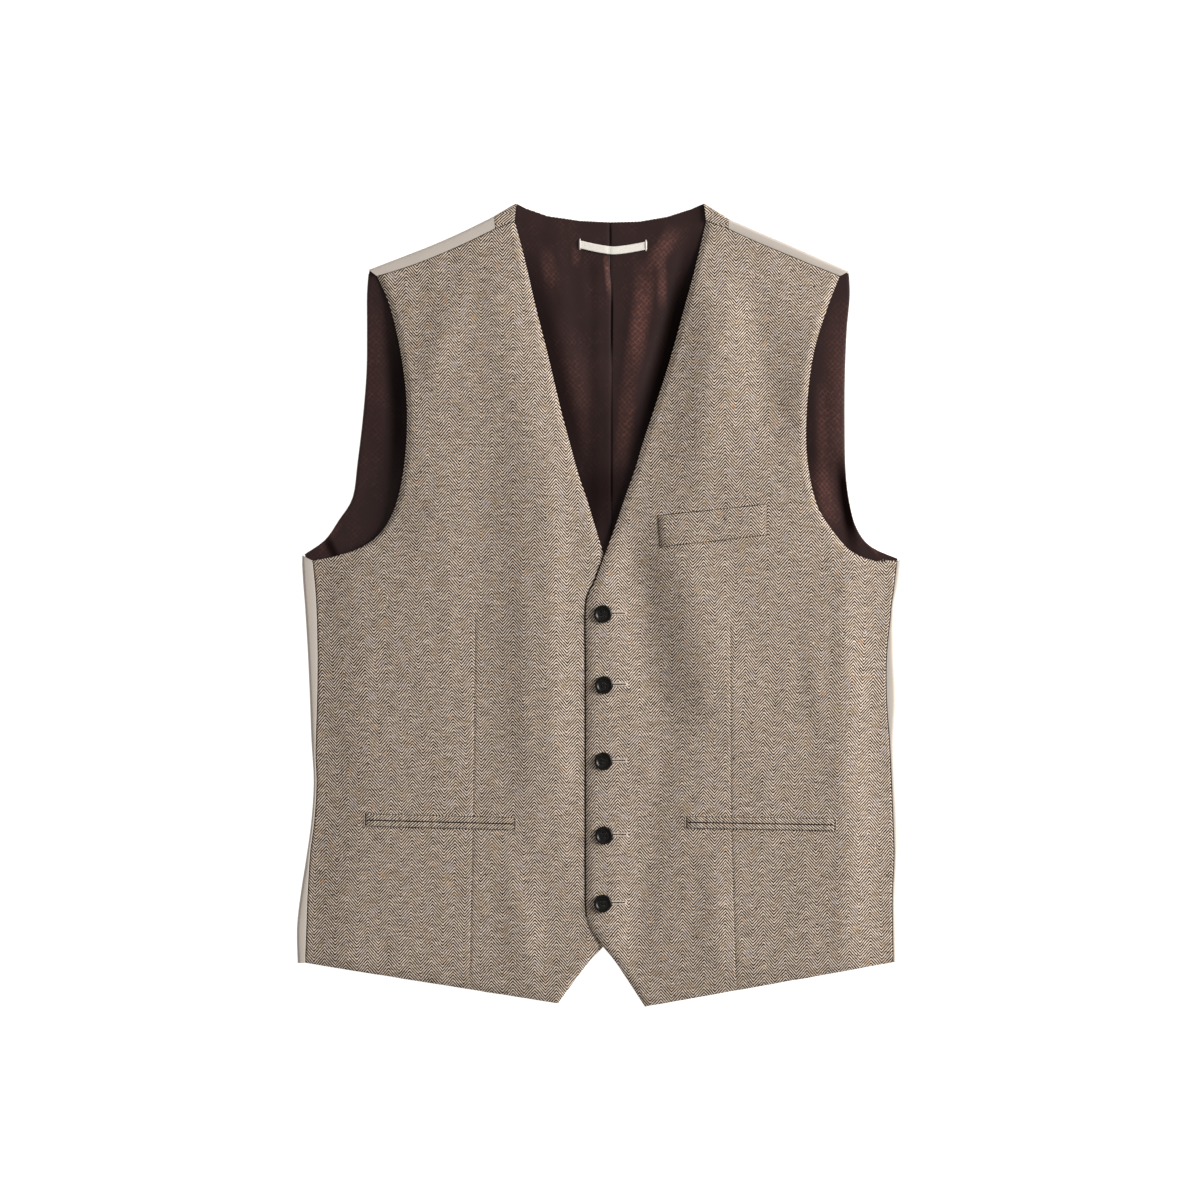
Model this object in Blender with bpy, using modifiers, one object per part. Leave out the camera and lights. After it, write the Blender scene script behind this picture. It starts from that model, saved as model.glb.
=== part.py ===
"""A single-breasted suit waistcoat with five buttons, laid flat on its back.

+X is the wearer's left, +Y the neck and +Z up. The origin is under the middle of the
garment, on the surface that it lies on. Sizes in the tables are millimetres.
"""
import math
from collections import namedtuple

import bmesh
import bpy
from mathutils import Vector
from mathutils.bvhtree import BVHTree

MM = 0.001

# Walls and gaps.
SATIN_WALL = 1.2
LINING_WALL = 1.0
TWEED_WALL = 2.3
JET_WALL = 1.0
WELT_WALL = 1.4
TAPE_WALL = 0.9
SEAM_GAP = 0.3
MIN_STRIP = 2.8
LAYER_GAP = 0.3

# Heights of the layers, from the surface up.
FOLD_RADIUS = 2.7
FOLD_TOP = 2 * FOLD_RADIUS
LINING_TOP = SATIN_WALL + LAYER_GAP + LINING_WALL
FRONT_TOP = LINING_TOP + LAYER_GAP + TWEED_WALL
FRONT_EASE = 2.5
FRONT_CROWN = 3.2
CROWN_WIDTH = 0.88
CROWN_POWER = 0.7
HEM_REST = 0.6
CHEST_RISE = 2.0
CHEST_Y = 44.0
CHEST_RUN = 70.0
CHEST_SLOPE = 0.34
HEM_CROWN = 0.5
HEM_CROWN_Y = -170.0
HEM_CROWN_RUN = 120.0

# How far the fronts take to come up from, or down to, the height of an edge.
SIDE_ROLL = 50.0
SIDE_ROLL_END = 50.0
SHOULDER_ROLL = 46.0
HEM_DROOP = 54.0
FOLD_FADE = 0.22

# The wearer's left front laps over the right one.
OVERLAP_LIFT = TWEED_WALL + 0.5
OVERLAP_X = 8.0
OVERLAP_REACH = 30.0
OVERLAP_Y = 52.0
OVERLAP_RUN = 45.0
UNDERLAP_DROP = 1.0
UNDERLAP_X = -34.0
UNDERLAP_REACH = 26.0

# The lines that divide the back and its lining.
CENTRE_X = 9.8
CENTRE_HEM_Y = -289.5
SIDE_HEM_Y = -303.0
BACK_HALF_WIDTH = 255.0
NECK_EDGE_Y = 324.9
NECK_SEAM_Y = 305.9
TOP_REACH = 0.85
LINING_HEM_RISE = 24.0
LINING_INSET = 5.0
EDGE_INSET = 0.5
LINING_SHOULDER_DROP = 1.4

# The ease pleat that opens below the hanger loop.
PLEAT_LIFT = 1.3
PLEAT_DEPTH = 8.0
PLEAT_LEAN = 5.0
PLEAT_START_Y = 300.0
PLEAT_OPEN_Y = 286.0
PLEAT_FULL_Y = 258.0
PLEAT_RAMP_X = 18.0
PLEAT_RAMP = 9.0

# Where the open neck's folds fade out, at its edges and above its point.
VEE_INSET = 3.0
VEE_FADE = 12.0
VEE_POINT_Y = 60.0
VEE_POINT_FADE = 50.0

# Buttons: half the outline as (distance from the axis, height), from the top's middle.
BUTTON_OUTLINE = ((0.0, 2.0), (4.3, 2.0), (5.6, 2.8), (6.6, 2.8), (7.5, 1.9), (7.2, 0.9),
                  (5.2, 0.0), (0.0, 0.0))
BUTTON_RADIUS = 7.5
BUTTON_HOLES = ((-1, -1), (1, -1), (1, 1), (-1, 1))
BUTTON_HOLE_SIDES = 6
BUTTON_CUT_DEPTH = 12.0
BUTTON_REST_POINTS = 12
BUTTON_HOLE_RADIUS = 0.8
BUTTON_HOLE_SPACING = 3.0
BUTTON_SIDES = 14

Section = namedtuple("Section", "name seam_x seam_y fold_x edge_x edge_y")
Armhole = namedtuple("Armhole", "name front_x front_y back_x back_y edge_x edge_y centre_y")
Shoulder = namedtuple("Shoulder", "name fold_x fold_y seam_x seam_y")
Neck = namedtuple("Neck", "name edge_x edge_y seam_x seam_y")
Fold = namedtuple("Fold", "name x0 y0 x1 y1 reach height")
Strip = namedtuple("Strip", "name x0 y0 x1 y1 x2 y2 x3 y3")
Side = namedtuple("Side", "name sign sections armhole shoulder")

# From hem to underarm: the side seam, the rolled outer edge and the front's own edge.
RIGHT_SECTIONS = (
    Section("hem", -249.0, -304.5, -255.6, -34.4, -339.2),
    Section("point", -247.8, -275.0, -256.2, -10.5, -306.9),
    Section("notch", -246.8, -247.0, -253.2, 6.5, -287.5),
    Section("corner", -245.0, -216.0, -248.4, 17.8, -266.5),
    Section("pocket", -242.6, -184.0, -244.0, 18.7, -233.0),
    Section("waist", -240.6, -150.0, -242.0, 18.7, -190.0),
    Section("third_button", -239.9, -116.0, -243.9, 18.7, -145.0),
    Section("rib", -238.6, -80.0, -245.2, 18.7, -98.0),
    Section("second_button", -238.3, -42.0, -246.9, 18.7, -52.0),
    Section("first_button", -239.2, -4.0, -249.2, 18.7, -6.0),
    Section("vee_turn", -240.6, 18.0, -250.9, 12.5, 21.0),
    Section("underarm", -242.7, 37.2, -252.0, 4.0, 44.0),
)
LEFT_SECTIONS = (
    Section("hem", 251.3, -304.0, 252.9, 39.5, -342.0),
    Section("point", 250.9, -277.0, 252.4, 15.0, -304.5),
    Section("notch", 250.6, -247.0, 252.1, 1.5, -287.5),
    Section("corner", 251.0, -216.0, 253.6, -9.2, -267.5),
    Section("pocket", 250.0, -184.0, 253.6, -10.6, -233.0),
    Section("waist", 248.6, -150.0, 251.8, -10.6, -190.0),
    Section("third_button", 247.0, -116.0, 251.0, -10.6, -145.0),
    Section("rib", 244.4, -80.0, 252.6, -10.6, -98.0),
    Section("second_button", 244.6, -42.0, 251.0, -10.6, -52.0),
    Section("first_button", 248.4, -4.0, 250.9, -10.4, 0.0),
    Section("vee_turn", 251.0, 18.0, 254.9, -3.0, 20.0),
    Section("underarm", 253.0, 36.0, 257.2, 5.2, 42.0),
)

# From underarm to shoulder: the front's armhole edge, the back's, the neckline edge
# and the height of the same row on the centre back line.
RIGHT_ARMHOLE = (
    Armhole("underarm", -242.7, 37.2, -251.8, 41.6, 4.0, 44.0, 37.0),
    Armhole("scye", -222.0, 41.5, -233.0, 54.4, -3.0, 67.0, 62.0),
    Armhole("curve", -202.0, 48.5, -220.6, 71.8, -10.0, 90.0, 88.0),
    Armhole("turn", -184.5, 61.5, -209.0, 91.0, -17.5, 112.5, 114.0),
    Armhole("chest", -172.0, 85.0, -204.8, 121.0, -24.5, 138.0, 144.0),
    Armhole("pitch", -164.6, 121.0, -200.4, 158.0, -33.0, 170.0, 180.0),
    Armhole("blade", -162.6, 166.0, -197.2, 198.0, -42.5, 210.5, 220.0),
    Armhole("pleat", -167.5, 211.5, -196.8, 236.0, -53.0, 252.0, 258.0),
    Armhole("loop", -177.2, 253.0, -196.8, 264.0, -62.5, 293.0, 286.0),
    Armhole("shoulder", -188.1, 278.8, -195.2, 284.4, -71.2, 325.7, 305.6),
)
LEFT_ARMHOLE = (
    Armhole("underarm", 253.0, 36.0, 257.2, 38.0, 5.2, 42.0, 37.0),
    Armhole("scye", 233.0, 37.5, 232.0, 49.0, 13.5, 64.5, 62.0),
    Armhole("curve", 213.0, 46.5, 219.5, 65.0, 22.5, 91.0, 88.0),
    Armhole("turn", 196.0, 66.5, 213.4, 87.0, 31.0, 115.0, 114.0),
    Armhole("chest", 184.5, 87.5, 210.2, 115.0, 38.5, 140.0, 144.0),
    Armhole("pitch", 177.0, 125.0, 209.5, 153.0, 48.2, 169.0, 180.0),
    Armhole("blade", 177.0, 170.0, 209.7, 193.0, 59.8, 205.0, 220.0),
    Armhole("pleat", 183.0, 215.0, 211.2, 232.0, 71.5, 247.0, 258.0),
    Armhole("loop", 194.5, 252.0, 213.8, 262.0, 81.3, 283.0, 286.0),
    Armhole("shoulder", 204.9, 278.8, 213.0, 283.0, 91.4, 325.6, 305.6),
)

# Along the shoulder, from its tip to the neck: the rolled edge and the seam in front.
RIGHT_SHOULDER = (
    Shoulder("tip", -195.2, 284.4, -188.1, 278.8),
    Shoulder("outer", -167.6, 295.0, -163.5, 286.2),
    Shoulder("middle", -141.5, 305.2, -138.0, 295.9),
    Shoulder("inner", -115.5, 316.7, -112.0, 307.3),
    Shoulder("band", -88.8, 329.8, -87.6, 319.2),
    Shoulder("neck", -69.8, 341.0, -71.2, 325.7),
)
LEFT_SHOULDER = (
    Shoulder("tip", 213.0, 283.0, 204.9, 278.8),
    Shoulder("outer", 189.0, 293.6, 185.5, 286.4),
    Shoulder("middle", 162.8, 305.2, 158.5, 297.6),
    Shoulder("inner", 137.0, 316.2, 133.0, 308.2),
    Shoulder("band", 110.9, 327.7, 110.1, 318.8),
    Shoulder("neck", 89.6, 341.0, 91.4, 325.7),
)

# Round the back of the neck: the open edge and the seam that joins the band to the satin.
NECK = (
    Neck("right_turn", -59.6, 336.0, -74.5, 317.6),
    Neck("right_run", -43.2, 330.2, -53.0, 310.3),
    Neck("right_back", -15.7, 326.2, -19.5, 307.2),
    Neck("centre", CENTRE_X, NECK_EDGE_Y, CENTRE_X, NECK_SEAM_Y),
    Neck("left_back", 35.0, 325.6, 37.5, 306.6),
    Neck("left_run", 58.5, 329.6, 68.0, 310.6),
    Neck("left_turn", 76.0, 335.2, 91.0, 317.4),
)

# The largest folds of the fronts: a soft ridge from one end to the other, or a trough
# where the height is negative.
FRONT_FOLDS = (
    Fold("right_vee_ridge", -78.0, 280.0, -48.0, 120.0, 19.0, 1.6),
    Fold("right_drape", -54.0, 160.0, -52.0, -172.0, 27.0, 2.8),
    Fold("right_placket_ridge", -40.0, 116.0, -37.0, -176.0, 15.0, 2.2),
    Fold("right_drape_trough", -100.0, 130.0, -98.0, -150.0, 20.0, -1.2),
    Fold("right_shoulder", -120.0, 266.0, -143.0, 190.0, 14.0, 2.5),
    Fold("right_chest", -140.0, 150.0, -136.0, 30.0, 24.0, 1.0),
    Fold("right_side", -222.0, 20.0, -224.0, -280.0, 20.0, 0.9),
    Fold("right_hem", -73.0, -222.0, -66.0, -310.0, 13.0, 1.6),
    Fold("left_vee_ridge", 92.0, 284.0, 94.0, 116.0, 24.0, 3.0),
    Fold("left_shoulder_trough", 124.0, 290.0, 152.0, 146.0, 17.0, -2.8),
    Fold("left_pocket_trough", 36.0, 42.0, 60.0, -104.0, 18.0, -2.6),
    Fold("left_pocket_ridge", 68.0, 60.0, 104.0, -96.0, 26.0, 3.6),
    Fold("left_low_trough", 58.0, -110.0, 32.0, -290.0, 15.0, -1.8),
    Fold("left_waist_crease", 181.0, -24.0, 188.0, -98.0, 9.0, 1.3),
    Fold("left_side_ridge", 205.0, 10.0, 206.0, -286.0, 23.0, 1.6),
    Fold("left_hem", 98.0, -214.0, 94.0, -300.0, 14.0, 1.6),
    Fold("left_hem_outer", 176.0, -206.0, 172.0, -292.0, 14.0, 0.8),
)

# Soft folds of the lining, in the open neck and beside the armholes.
LINING_FOLDS = (
    Fold("neck_ridge", 57.0, 312.0, 30.0, 170.0, 13.0, 2.4),
    Fold("neck_low_ridge", -36.0, 296.0, -20.0, 170.0, 11.0, 1.2),
    Fold("armhole_left", 203.0, 220.0, 201.0, 110.0, 7.0, 1.1),
    Fold("armhole_right", -187.0, 232.0, -184.0, 130.0, 7.0, 0.9),
)

# Corners of what lies on the fronts, in order round each strip.
WELT = Strip("breast_welt", 50.6, 75.2, 142.4, 84.6, 142.4, 59.1, 52.3, 48.9)
JETS = (
    Strip("hip_jet_right_upper", -197.2, -177.9, -71.6, -181.1, -71.6, -186.1, -197.2, -182.9),
    Strip("hip_jet_right_lower", -197.2, -183.2, -71.6, -186.4, -71.6, -191.2, -197.2, -188.1),
    Strip("hip_jet_left_upper", 75.2, -180.1, 200.2, -181.9, 200.2, -186.9, 75.2, -184.7),
    Strip("hip_jet_left_lower", 75.2, -185.0, 200.2, -187.2, 200.2, -191.9, 75.2, -189.8),
)
BUTTON_PLACES = ((3.8, -8.1), (4.7, -68.4), (4.2, -133.0), (4.7, -195.9), (3.8, -253.7))

# The hanger loop: a tape that sags between its two stitched ends.
LOOP_LEFT = (-16.6, 306.0)
LOOP_RIGHT = (41.2, 305.0)
LOOP_SAG = 4.8
LOOP_WIDTH = 6.8
LOOP_HUMP = 0.7
LOOP_STEPS = 12

RIGHT = Side("right", -1, RIGHT_SECTIONS, RIGHT_ARMHOLE, RIGHT_SHOULDER)
LEFT = Side("left", 1, LEFT_SECTIONS, LEFT_ARMHOLE, LEFT_SHOULDER)

# Columns of each panel, from its outer edge (0) to its centre edge (1).
FRONT_COLUMNS = (0.0, 0.04, 0.09, 0.14, 0.19, 0.25, 0.31, 0.37, 0.43, 0.49, 0.55, 0.61, 0.67,
                 0.73, 0.79, 0.84, 0.89, 0.93, 0.97, 1.0)
LINING_COLUMNS = (0.0, 0.10, 0.28, 0.46, 0.60, 0.70, 0.78, 0.85, 0.91, 0.955, 1.0)
ROW_STEPS = 2
LINING_LOWER_ROWS = 8
WRAP_STEPS = 3
WELT_STEPS = (8, 3)
JET_STEPS = (12, 1)

# Colours: red, green, blue and roughness.
TWEED = (0.33, 0.28, 0.22, 0.95)
SATIN = (0.56, 0.49, 0.42, 0.45)
LINING = (0.055, 0.028, 0.025, 0.4)
TAPE = (0.80, 0.76, 0.69, 0.6)
HORN = (0.018, 0.015, 0.013, 0.35)


# ---------------------------------------------------------------- small helpers

def lerp(a, b, t):
    return a + (b - a) * t


def ease(t):
    """0 below t = 0, 1 above t = 1, and a soft step between them."""
    t = min(max(t, 0.0), 1.0)
    return t * t * (3.0 - 2.0 * t)


def numbers(rows):
    """A table's rows without their names."""
    return [tuple(row[1:]) for row in rows]


def smooth_rows(rows, steps):
    """A smooth curve through the rows, with this many steps from each row to the next."""
    result = []
    last = len(rows) - 1
    for i in range(last):
        before, start, end, after = rows[max(i - 1, 0)], rows[i], rows[i + 1], rows[min(i + 2, last)]
        for step in range(steps):
            t = step / steps
            result.append(tuple(
                b + 0.5 * t * ((c - a) + t * ((2 * a - 5 * b + 4 * c - d) + t * (3 * b - a - 3 * c + d)))
                for a, b, c, d in zip(before, start, end, after)))
    result.append(tuple(rows[-1]))
    return result


def along(points, t):
    """The point at a fraction of a polyline's length."""
    lengths = [math.dist(a, b) for a, b in zip(points, points[1:])]
    left = t * sum(lengths)
    for a, b, length in zip(points, points[1:], lengths):
        if left <= length:
            return (lerp(a[0], b[0], left / length), lerp(a[1], b[1], left / length))
        left -= length
    return points[-1]


def patch(outer, inner, top, columns):
    """Rows of (x, y, u, v) between two edges, with the last row bent to the top line."""
    lengths = [0.0]
    for i in range(1, len(outer)):
        step = 0.5 * (math.dist(outer[i - 1], outer[i]) + math.dist(inner[i - 1], inner[i]))
        lengths.append(lengths[-1] + step)
    bends = []
    for u, point in zip(columns, top):
        bends.append((point[0] - lerp(outer[-1][0], inner[-1][0], u),
                      point[1] - lerp(outer[-1][1], inner[-1][1], u)))
    rows = []
    for a, b, length in zip(outer, inner, lengths):
        v = length / lengths[-1]
        row = []
        for u, bend in zip(columns, bends):
            row.append((lerp(a[0], b[0], u) + bend[0] * v, lerp(a[1], b[1], u) + bend[1] * v, u, v))
        rows.append(row)
    return rows


def fold_height(folds, x, y):
    """The summed height of every fold of a table at a point."""
    total = 0.0
    for fold in folds:
        dx, dy = fold.x1 - fold.x0, fold.y1 - fold.y0
        length = math.hypot(dx, dy)
        run = ((x - fold.x0) * dx + (y - fold.y0) * dy) / length
        across = ((x - fold.x0) * dy - (y - fold.y0) * dx) / length
        fade = FOLD_FADE * length
        ends = ease((run + fade) / (2 * fade)) * ease((length + fade - run) / (2 * fade))
        total += fold.height * math.exp(-(across / fold.reach) ** 2) * ends
    return total


def wrap_profile(width):
    """(distance in from the rolled edge, height) from the flat back to the front seam."""
    top_reach = min(FOLD_RADIUS, TOP_REACH * width)
    points = []
    for i in range(2 * WRAP_STEPS + 1):
        angle = 0.5 * math.pi * (i / WRAP_STEPS - 1.0)
        reach = FOLD_RADIUS if i < WRAP_STEPS else top_reach
        points.append((reach * (1.0 - math.cos(angle)), FOLD_RADIUS * (1.0 + math.sin(angle))))
    return points + [(width, FOLD_TOP)]


def wrap(edge, seam, gap):
    """The rolled strip's points from the back's flat edge, over the fold, to its seam."""
    width = math.dist(edge, seam)
    inward = ((seam[0] - edge[0]) / width, (seam[1] - edge[1]) / width)
    return [(edge[0] + inward[0] * d, edge[1] + inward[1] * d, z) for d, z in wrap_profile(width - gap)]


# ---------------------------------------------------------------- objects

def clear_scene():
    for item in list(bpy.data.objects):
        bpy.data.objects.remove(item, do_unlink=True)


def finish_material(name, look):
    material = bpy.data.materials.new(name)
    material.use_nodes = True
    shader = material.node_tree.nodes["Principled BSDF"]
    shader.inputs["Base Color"].default_value = (look[0], look[1], look[2], 1.0)
    shader.inputs["Roughness"].default_value = look[3]
    return material


def add_object(name, mesh, look):
    mesh.materials.append(finish_material(name, look))
    item = bpy.data.objects.new(name, mesh)
    collection.objects.link(item)
    return item


def sheet_mesh(name, grids, facing):
    """One open surface from grids of points that share edges. facing is +1 up or -1 down."""
    bm = bmesh.new()
    for grid in grids:
        rows = [[bm.verts.new(Vector(point) * MM) for point in row] for row in grid]
        for a, b in zip(rows, rows[1:]):
            for i in range(len(a) - 1):
                bm.faces.new((a[i], a[i + 1], b[i + 1], b[i]))
    bmesh.ops.remove_doubles(bm, verts=bm.verts, dist=0.01 * MM)
    bmesh.ops.recalc_face_normals(bm, faces=bm.faces)
    bm.faces.ensure_lookup_table()
    if bm.faces[0].normal.z * facing < 0:
        bmesh.ops.reverse_faces(bm, faces=bm.faces)
    bmesh.ops.triangulate(bm, faces=bm.faces)
    mesh = bpy.data.meshes.new(name)
    bm.to_mesh(mesh)
    bm.free()
    return mesh


def add_sheet(name, grids, facing, wall, side, look):
    """A wall of cloth: side -1 thickens it behind its points, +1 in front of them."""
    item = add_object(name, sheet_mesh(name, grids, facing), look)
    solid = item.modifiers.new("Wall", "SOLIDIFY")
    solid.thickness = wall * MM
    solid.offset = side
    solid.use_quality_normals = True
    item.data.shade_smooth()
    return item


def surface_of(items):
    """A function that gives the highest of these objects' own points at a place."""
    trees = []
    for item in items:
        points = [vertex.co for vertex in item.data.vertices]
        faces = [tuple(polygon.vertices) for polygon in item.data.polygons]
        trees.append(BVHTree.FromPolygons(points, faces))

    def height(x, y):
        best = None
        for tree in trees:
            hit = tree.ray_cast(Vector((x * MM, y * MM, 1.0)), Vector((0.0, 0.0, -1.0)))[0]
            if hit is not None and (best is None or hit.z / MM > best):
                best = hit.z / MM
        return best

    return height


# ---------------------------------------------------------------- panels

def side_rows(side):
    """Hem to underarm: (seam_x, seam_y, fold_x, edge_x, edge_y)."""
    rows = []
    for row in smooth_rows(numbers(side.sections), ROW_STEPS):
        strip = max(abs(row[2] - row[0]), MIN_STRIP)
        rows.append((row[2] - side.sign * strip,) + row[1:])
    return rows


def armhole_rows(side):
    """Underarm to shoulder: the columns of the armhole table."""
    return smooth_rows(numbers(side.armhole), ROW_STEPS)


def fold_x_at(side, y):
    """The rolled outer edge of one side, at a height between hem and underarm."""
    rows = side_rows(side)
    for a, b in zip(rows, rows[1:]):
        if y <= b[1]:
            return lerp(a[2], b[2], max(y - a[1], 0.0) / (b[1] - a[1]))
    return rows[-1][2]


def back_hem_y(x):
    """The back's hem rises softly from the side corners to the centre."""
    return lerp(CENTRE_HEM_Y, SIDE_HEM_Y, ease(abs(x - CENTRE_X) / BACK_HALF_WIDTH))


def front_height(side, x, y, u, fold_x, shoulder_drop):
    """Height of a front's outer face."""
    underarm_y = side.sections[-1].seam_y
    crown = math.sin(math.pi * u / CROWN_WIDTH) ** CROWN_POWER if 0.0 < u < CROWN_WIDTH else 0.0
    crown *= lerp(1.0, HEM_CROWN, ease((HEM_CROWN_Y - y) / HEM_CROWN_RUN))
    chest = ease((y - CHEST_Y) / CHEST_RUN)
    crown = lerp(crown, ease((1.0 - u) / CHEST_SLOPE), chest)
    z = FRONT_TOP + FRONT_EASE + FRONT_CROWN * crown + fold_height(FRONT_FOLDS, x, y)
    z += CHEST_RISE * chest
    placket = 1.0 - ease((y - OVERLAP_Y) / OVERLAP_RUN)
    if side.sign < 0:
        z -= UNDERLAP_DROP * ease((x - UNDERLAP_X) / UNDERLAP_REACH) * placket
    roll = abs(x - fold_x)
    near_side = (1.0 - ease(roll / SIDE_ROLL)) * (1.0 - ease((y - underarm_y) / SIDE_ROLL_END))
    z = lerp(z, FOLD_TOP, near_side)
    z = lerp(z, FOLD_TOP, 1.0 - ease(shoulder_drop / SHOULDER_ROLL))
    lift = 0.0
    if side.sign > 0:
        lift = OVERLAP_LIFT * (1.0 - ease((x - OVERLAP_X) / OVERLAP_REACH)) * placket
    droop = ease((back_hem_y(x) - y) / HEM_DROOP)
    return lerp(z, HEM_REST + TWEED_WALL, droop) + lift


def front_grid(side):
    lower = side_rows(side)
    upper = armhole_rows(side)
    outer = [(row[0], row[1]) for row in lower] + [(row[0], row[1]) for row in upper[1:]]
    inner = [(row[3], row[4]) for row in lower] + [(row[4], row[5]) for row in upper[1:]]
    folds = [row[2] for row in lower] + [lower[-1][2]] * (len(upper) - 1)
    seam = [(row.seam_x, row.seam_y) for row in side.shoulder]
    top = [along(seam, u) for u in FRONT_COLUMNS]
    grid = []
    for row, fold_x in zip(patch(outer, inner, top, FRONT_COLUMNS), folds):
        points = []
        for i, (x, y, u, v) in enumerate(row):
            points.append((x, y, front_height(side, x, y, u, fold_x, top[i][1] - y)))
        grid.append(points)
    return grid


def build_front(side):
    return add_sheet("front_" + side.name, [front_grid(side)], 1, TWEED_WALL, -1, TWEED)


def shoulder_points(side, first, last):
    """Rolled edge and seam points of the shoulder, from one row of its table to another."""
    rows = side.shoulder[first:last + 1]
    return [((row.fold_x, row.fold_y), (row.seam_x, row.seam_y)) for row in rows]


def shift(point, dx, dy):
    return (point[0] + dx, point[1] + dy)


def neck_seam(side):
    """The satin's edge under the neck band, from the shoulder to the centre line."""
    rows = [row for row in NECK if (row.seam_x - CENTRE_X) * side.sign > 0]
    if side.sign > 0:
        rows = rows[::-1]
    points = [(row.seam_x, row.seam_y - SEAM_GAP) for row in rows]
    return points + [(CENTRE_X + side.sign * 0.5 * SEAM_GAP, NECK_SEAM_Y - SEAM_GAP)]


def build_back(side):
    """Half of the satin back: flat below, rolled up at the side and over the shoulder."""
    centre_x = CENTRE_X + side.sign * 0.5 * SEAM_GAP
    lower = side_rows(side)
    upper = armhole_rows(side)
    wraps = [wrap((row[2], row[1]), (row[0], row[1]), SEAM_GAP) for row in lower[:-1]]
    wraps.append(wrap(upper[0][2:4], lower[-1][:2], SEAM_GAP))
    tips = shoulder_points(side, 0, 4)
    band = tips[-1]
    back_off = 0.5 * SEAM_GAP * side.sign
    tips[-1] = (shift(band[0], back_off, 0), shift(band[1], back_off, 0))
    rolls = [wrap(edge, seam, SEAM_GAP) for edge, seam in tips]
    outer = [points[0][:2] for points in wraps] + [(row[2], row[3]) for row in upper[1:-1]]
    outer.append(rolls[0][0][:2])
    top = [points[0][:2] for points in rolls] + neck_seam(side)
    hem_y, arm_y = lower[0][1], lower[-1][1]
    inner = []
    for row in lower:
        inner.append((centre_x, lerp(CENTRE_HEM_Y, upper[0][6], (row[1] - hem_y) / (arm_y - hem_y))))
    inner += [(centre_x, row[6]) for row in upper[1:]]
    span = centre_x - top[0][0]
    columns = [(point[0] - top[0][0]) / span for point in top]
    flat = [[(x, y, 0.0) for x, y, u, v in row] for row in patch(outer, inner, top, columns)]
    return add_sheet("back_" + side.name, [flat, wraps, rolls], -1, SATIN_WALL, -1, SATIN)


def build_neck_band():
    """Tweed band round the back of the neck, rolled over both shoulders to the fronts."""
    grids = []
    ends = []
    for side in (RIGHT, LEFT):
        (band_edge, band_seam), (neck_edge, neck_seam_point) = shoulder_points(side, 4, 5)
        off = -0.5 * SEAM_GAP * side.sign
        edges = [(neck_edge, neck_seam_point), (shift(band_edge, off, 0), shift(band_seam, off, 0))]
        middle = tuple(tuple(lerp(a, b, 0.5) for a, b in zip(p, q)) for p, q in zip(*edges))
        rolls = [wrap(edge, seam, SEAM_GAP) for edge, seam in (edges[0], middle, edges[1])]
        ends.append([points[0][:2] for points in rolls])
        grids.append(rolls)
    rows = [[(x, y, 0.0) for x, y in ends[0]]]
    for row in NECK:
        rows.append([(lerp(row.edge_x, row.seam_x, t), lerp(row.edge_y, row.seam_y, t), 0.0)
                     for t in (0.0, 0.5, 1.0)])
    rows.append([(x, y, 0.0) for x, y in ends[1]])
    return add_sheet("neck_band", [rows] + grids, -1, SATIN_WALL, -1, TWEED)


def pleat_openness(y):
    return ease((PLEAT_OPEN_Y - y) / (PLEAT_OPEN_Y - PLEAT_FULL_Y))


def vee_mask(x, y):
    """1 inside the open neck, 0 under the fronts."""
    inside = ease((y - VEE_POINT_Y) / VEE_POINT_FADE)
    for side in (RIGHT, LEFT):
        low, high = side.armhole[0], side.armhole[-1]
        edge_x = lerp(low.edge_x, high.edge_x, (y - low.edge_y) / (high.edge_y - low.edge_y))
        inside *= ease(((edge_x - x) * side.sign - VEE_INSET) / VEE_FADE)
    return inside


def lining_height(side, x, y):
    """Height of the lining's upper face."""
    folds = fold_height(LINING_FOLDS[:2], x, y) * vee_mask(x, y)
    folds += fold_height(LINING_FOLDS[2:], x, y)
    lift = 0.0
    if side.sign < 0:
        lift = PLEAT_LIFT * ease((x - CENTRE_X + PLEAT_RAMP_X) / PLEAT_RAMP)
        lift *= ease((PLEAT_START_Y - y) / (PLEAT_START_Y - PLEAT_OPEN_Y))
    return LINING_TOP + max(folds, 0.0) + lift


def lining_centre(side, y):
    """The lining halves meet at the seam, and below it one folds over the other."""
    fold_line = CENTRE_X + PLEAT_LEAN * pleat_openness(y)
    if side.sign < 0:
        return fold_line - 0.5 * SEAM_GAP
    return fold_line - PLEAT_DEPTH * pleat_openness(y) + 0.5 * SEAM_GAP


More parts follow.
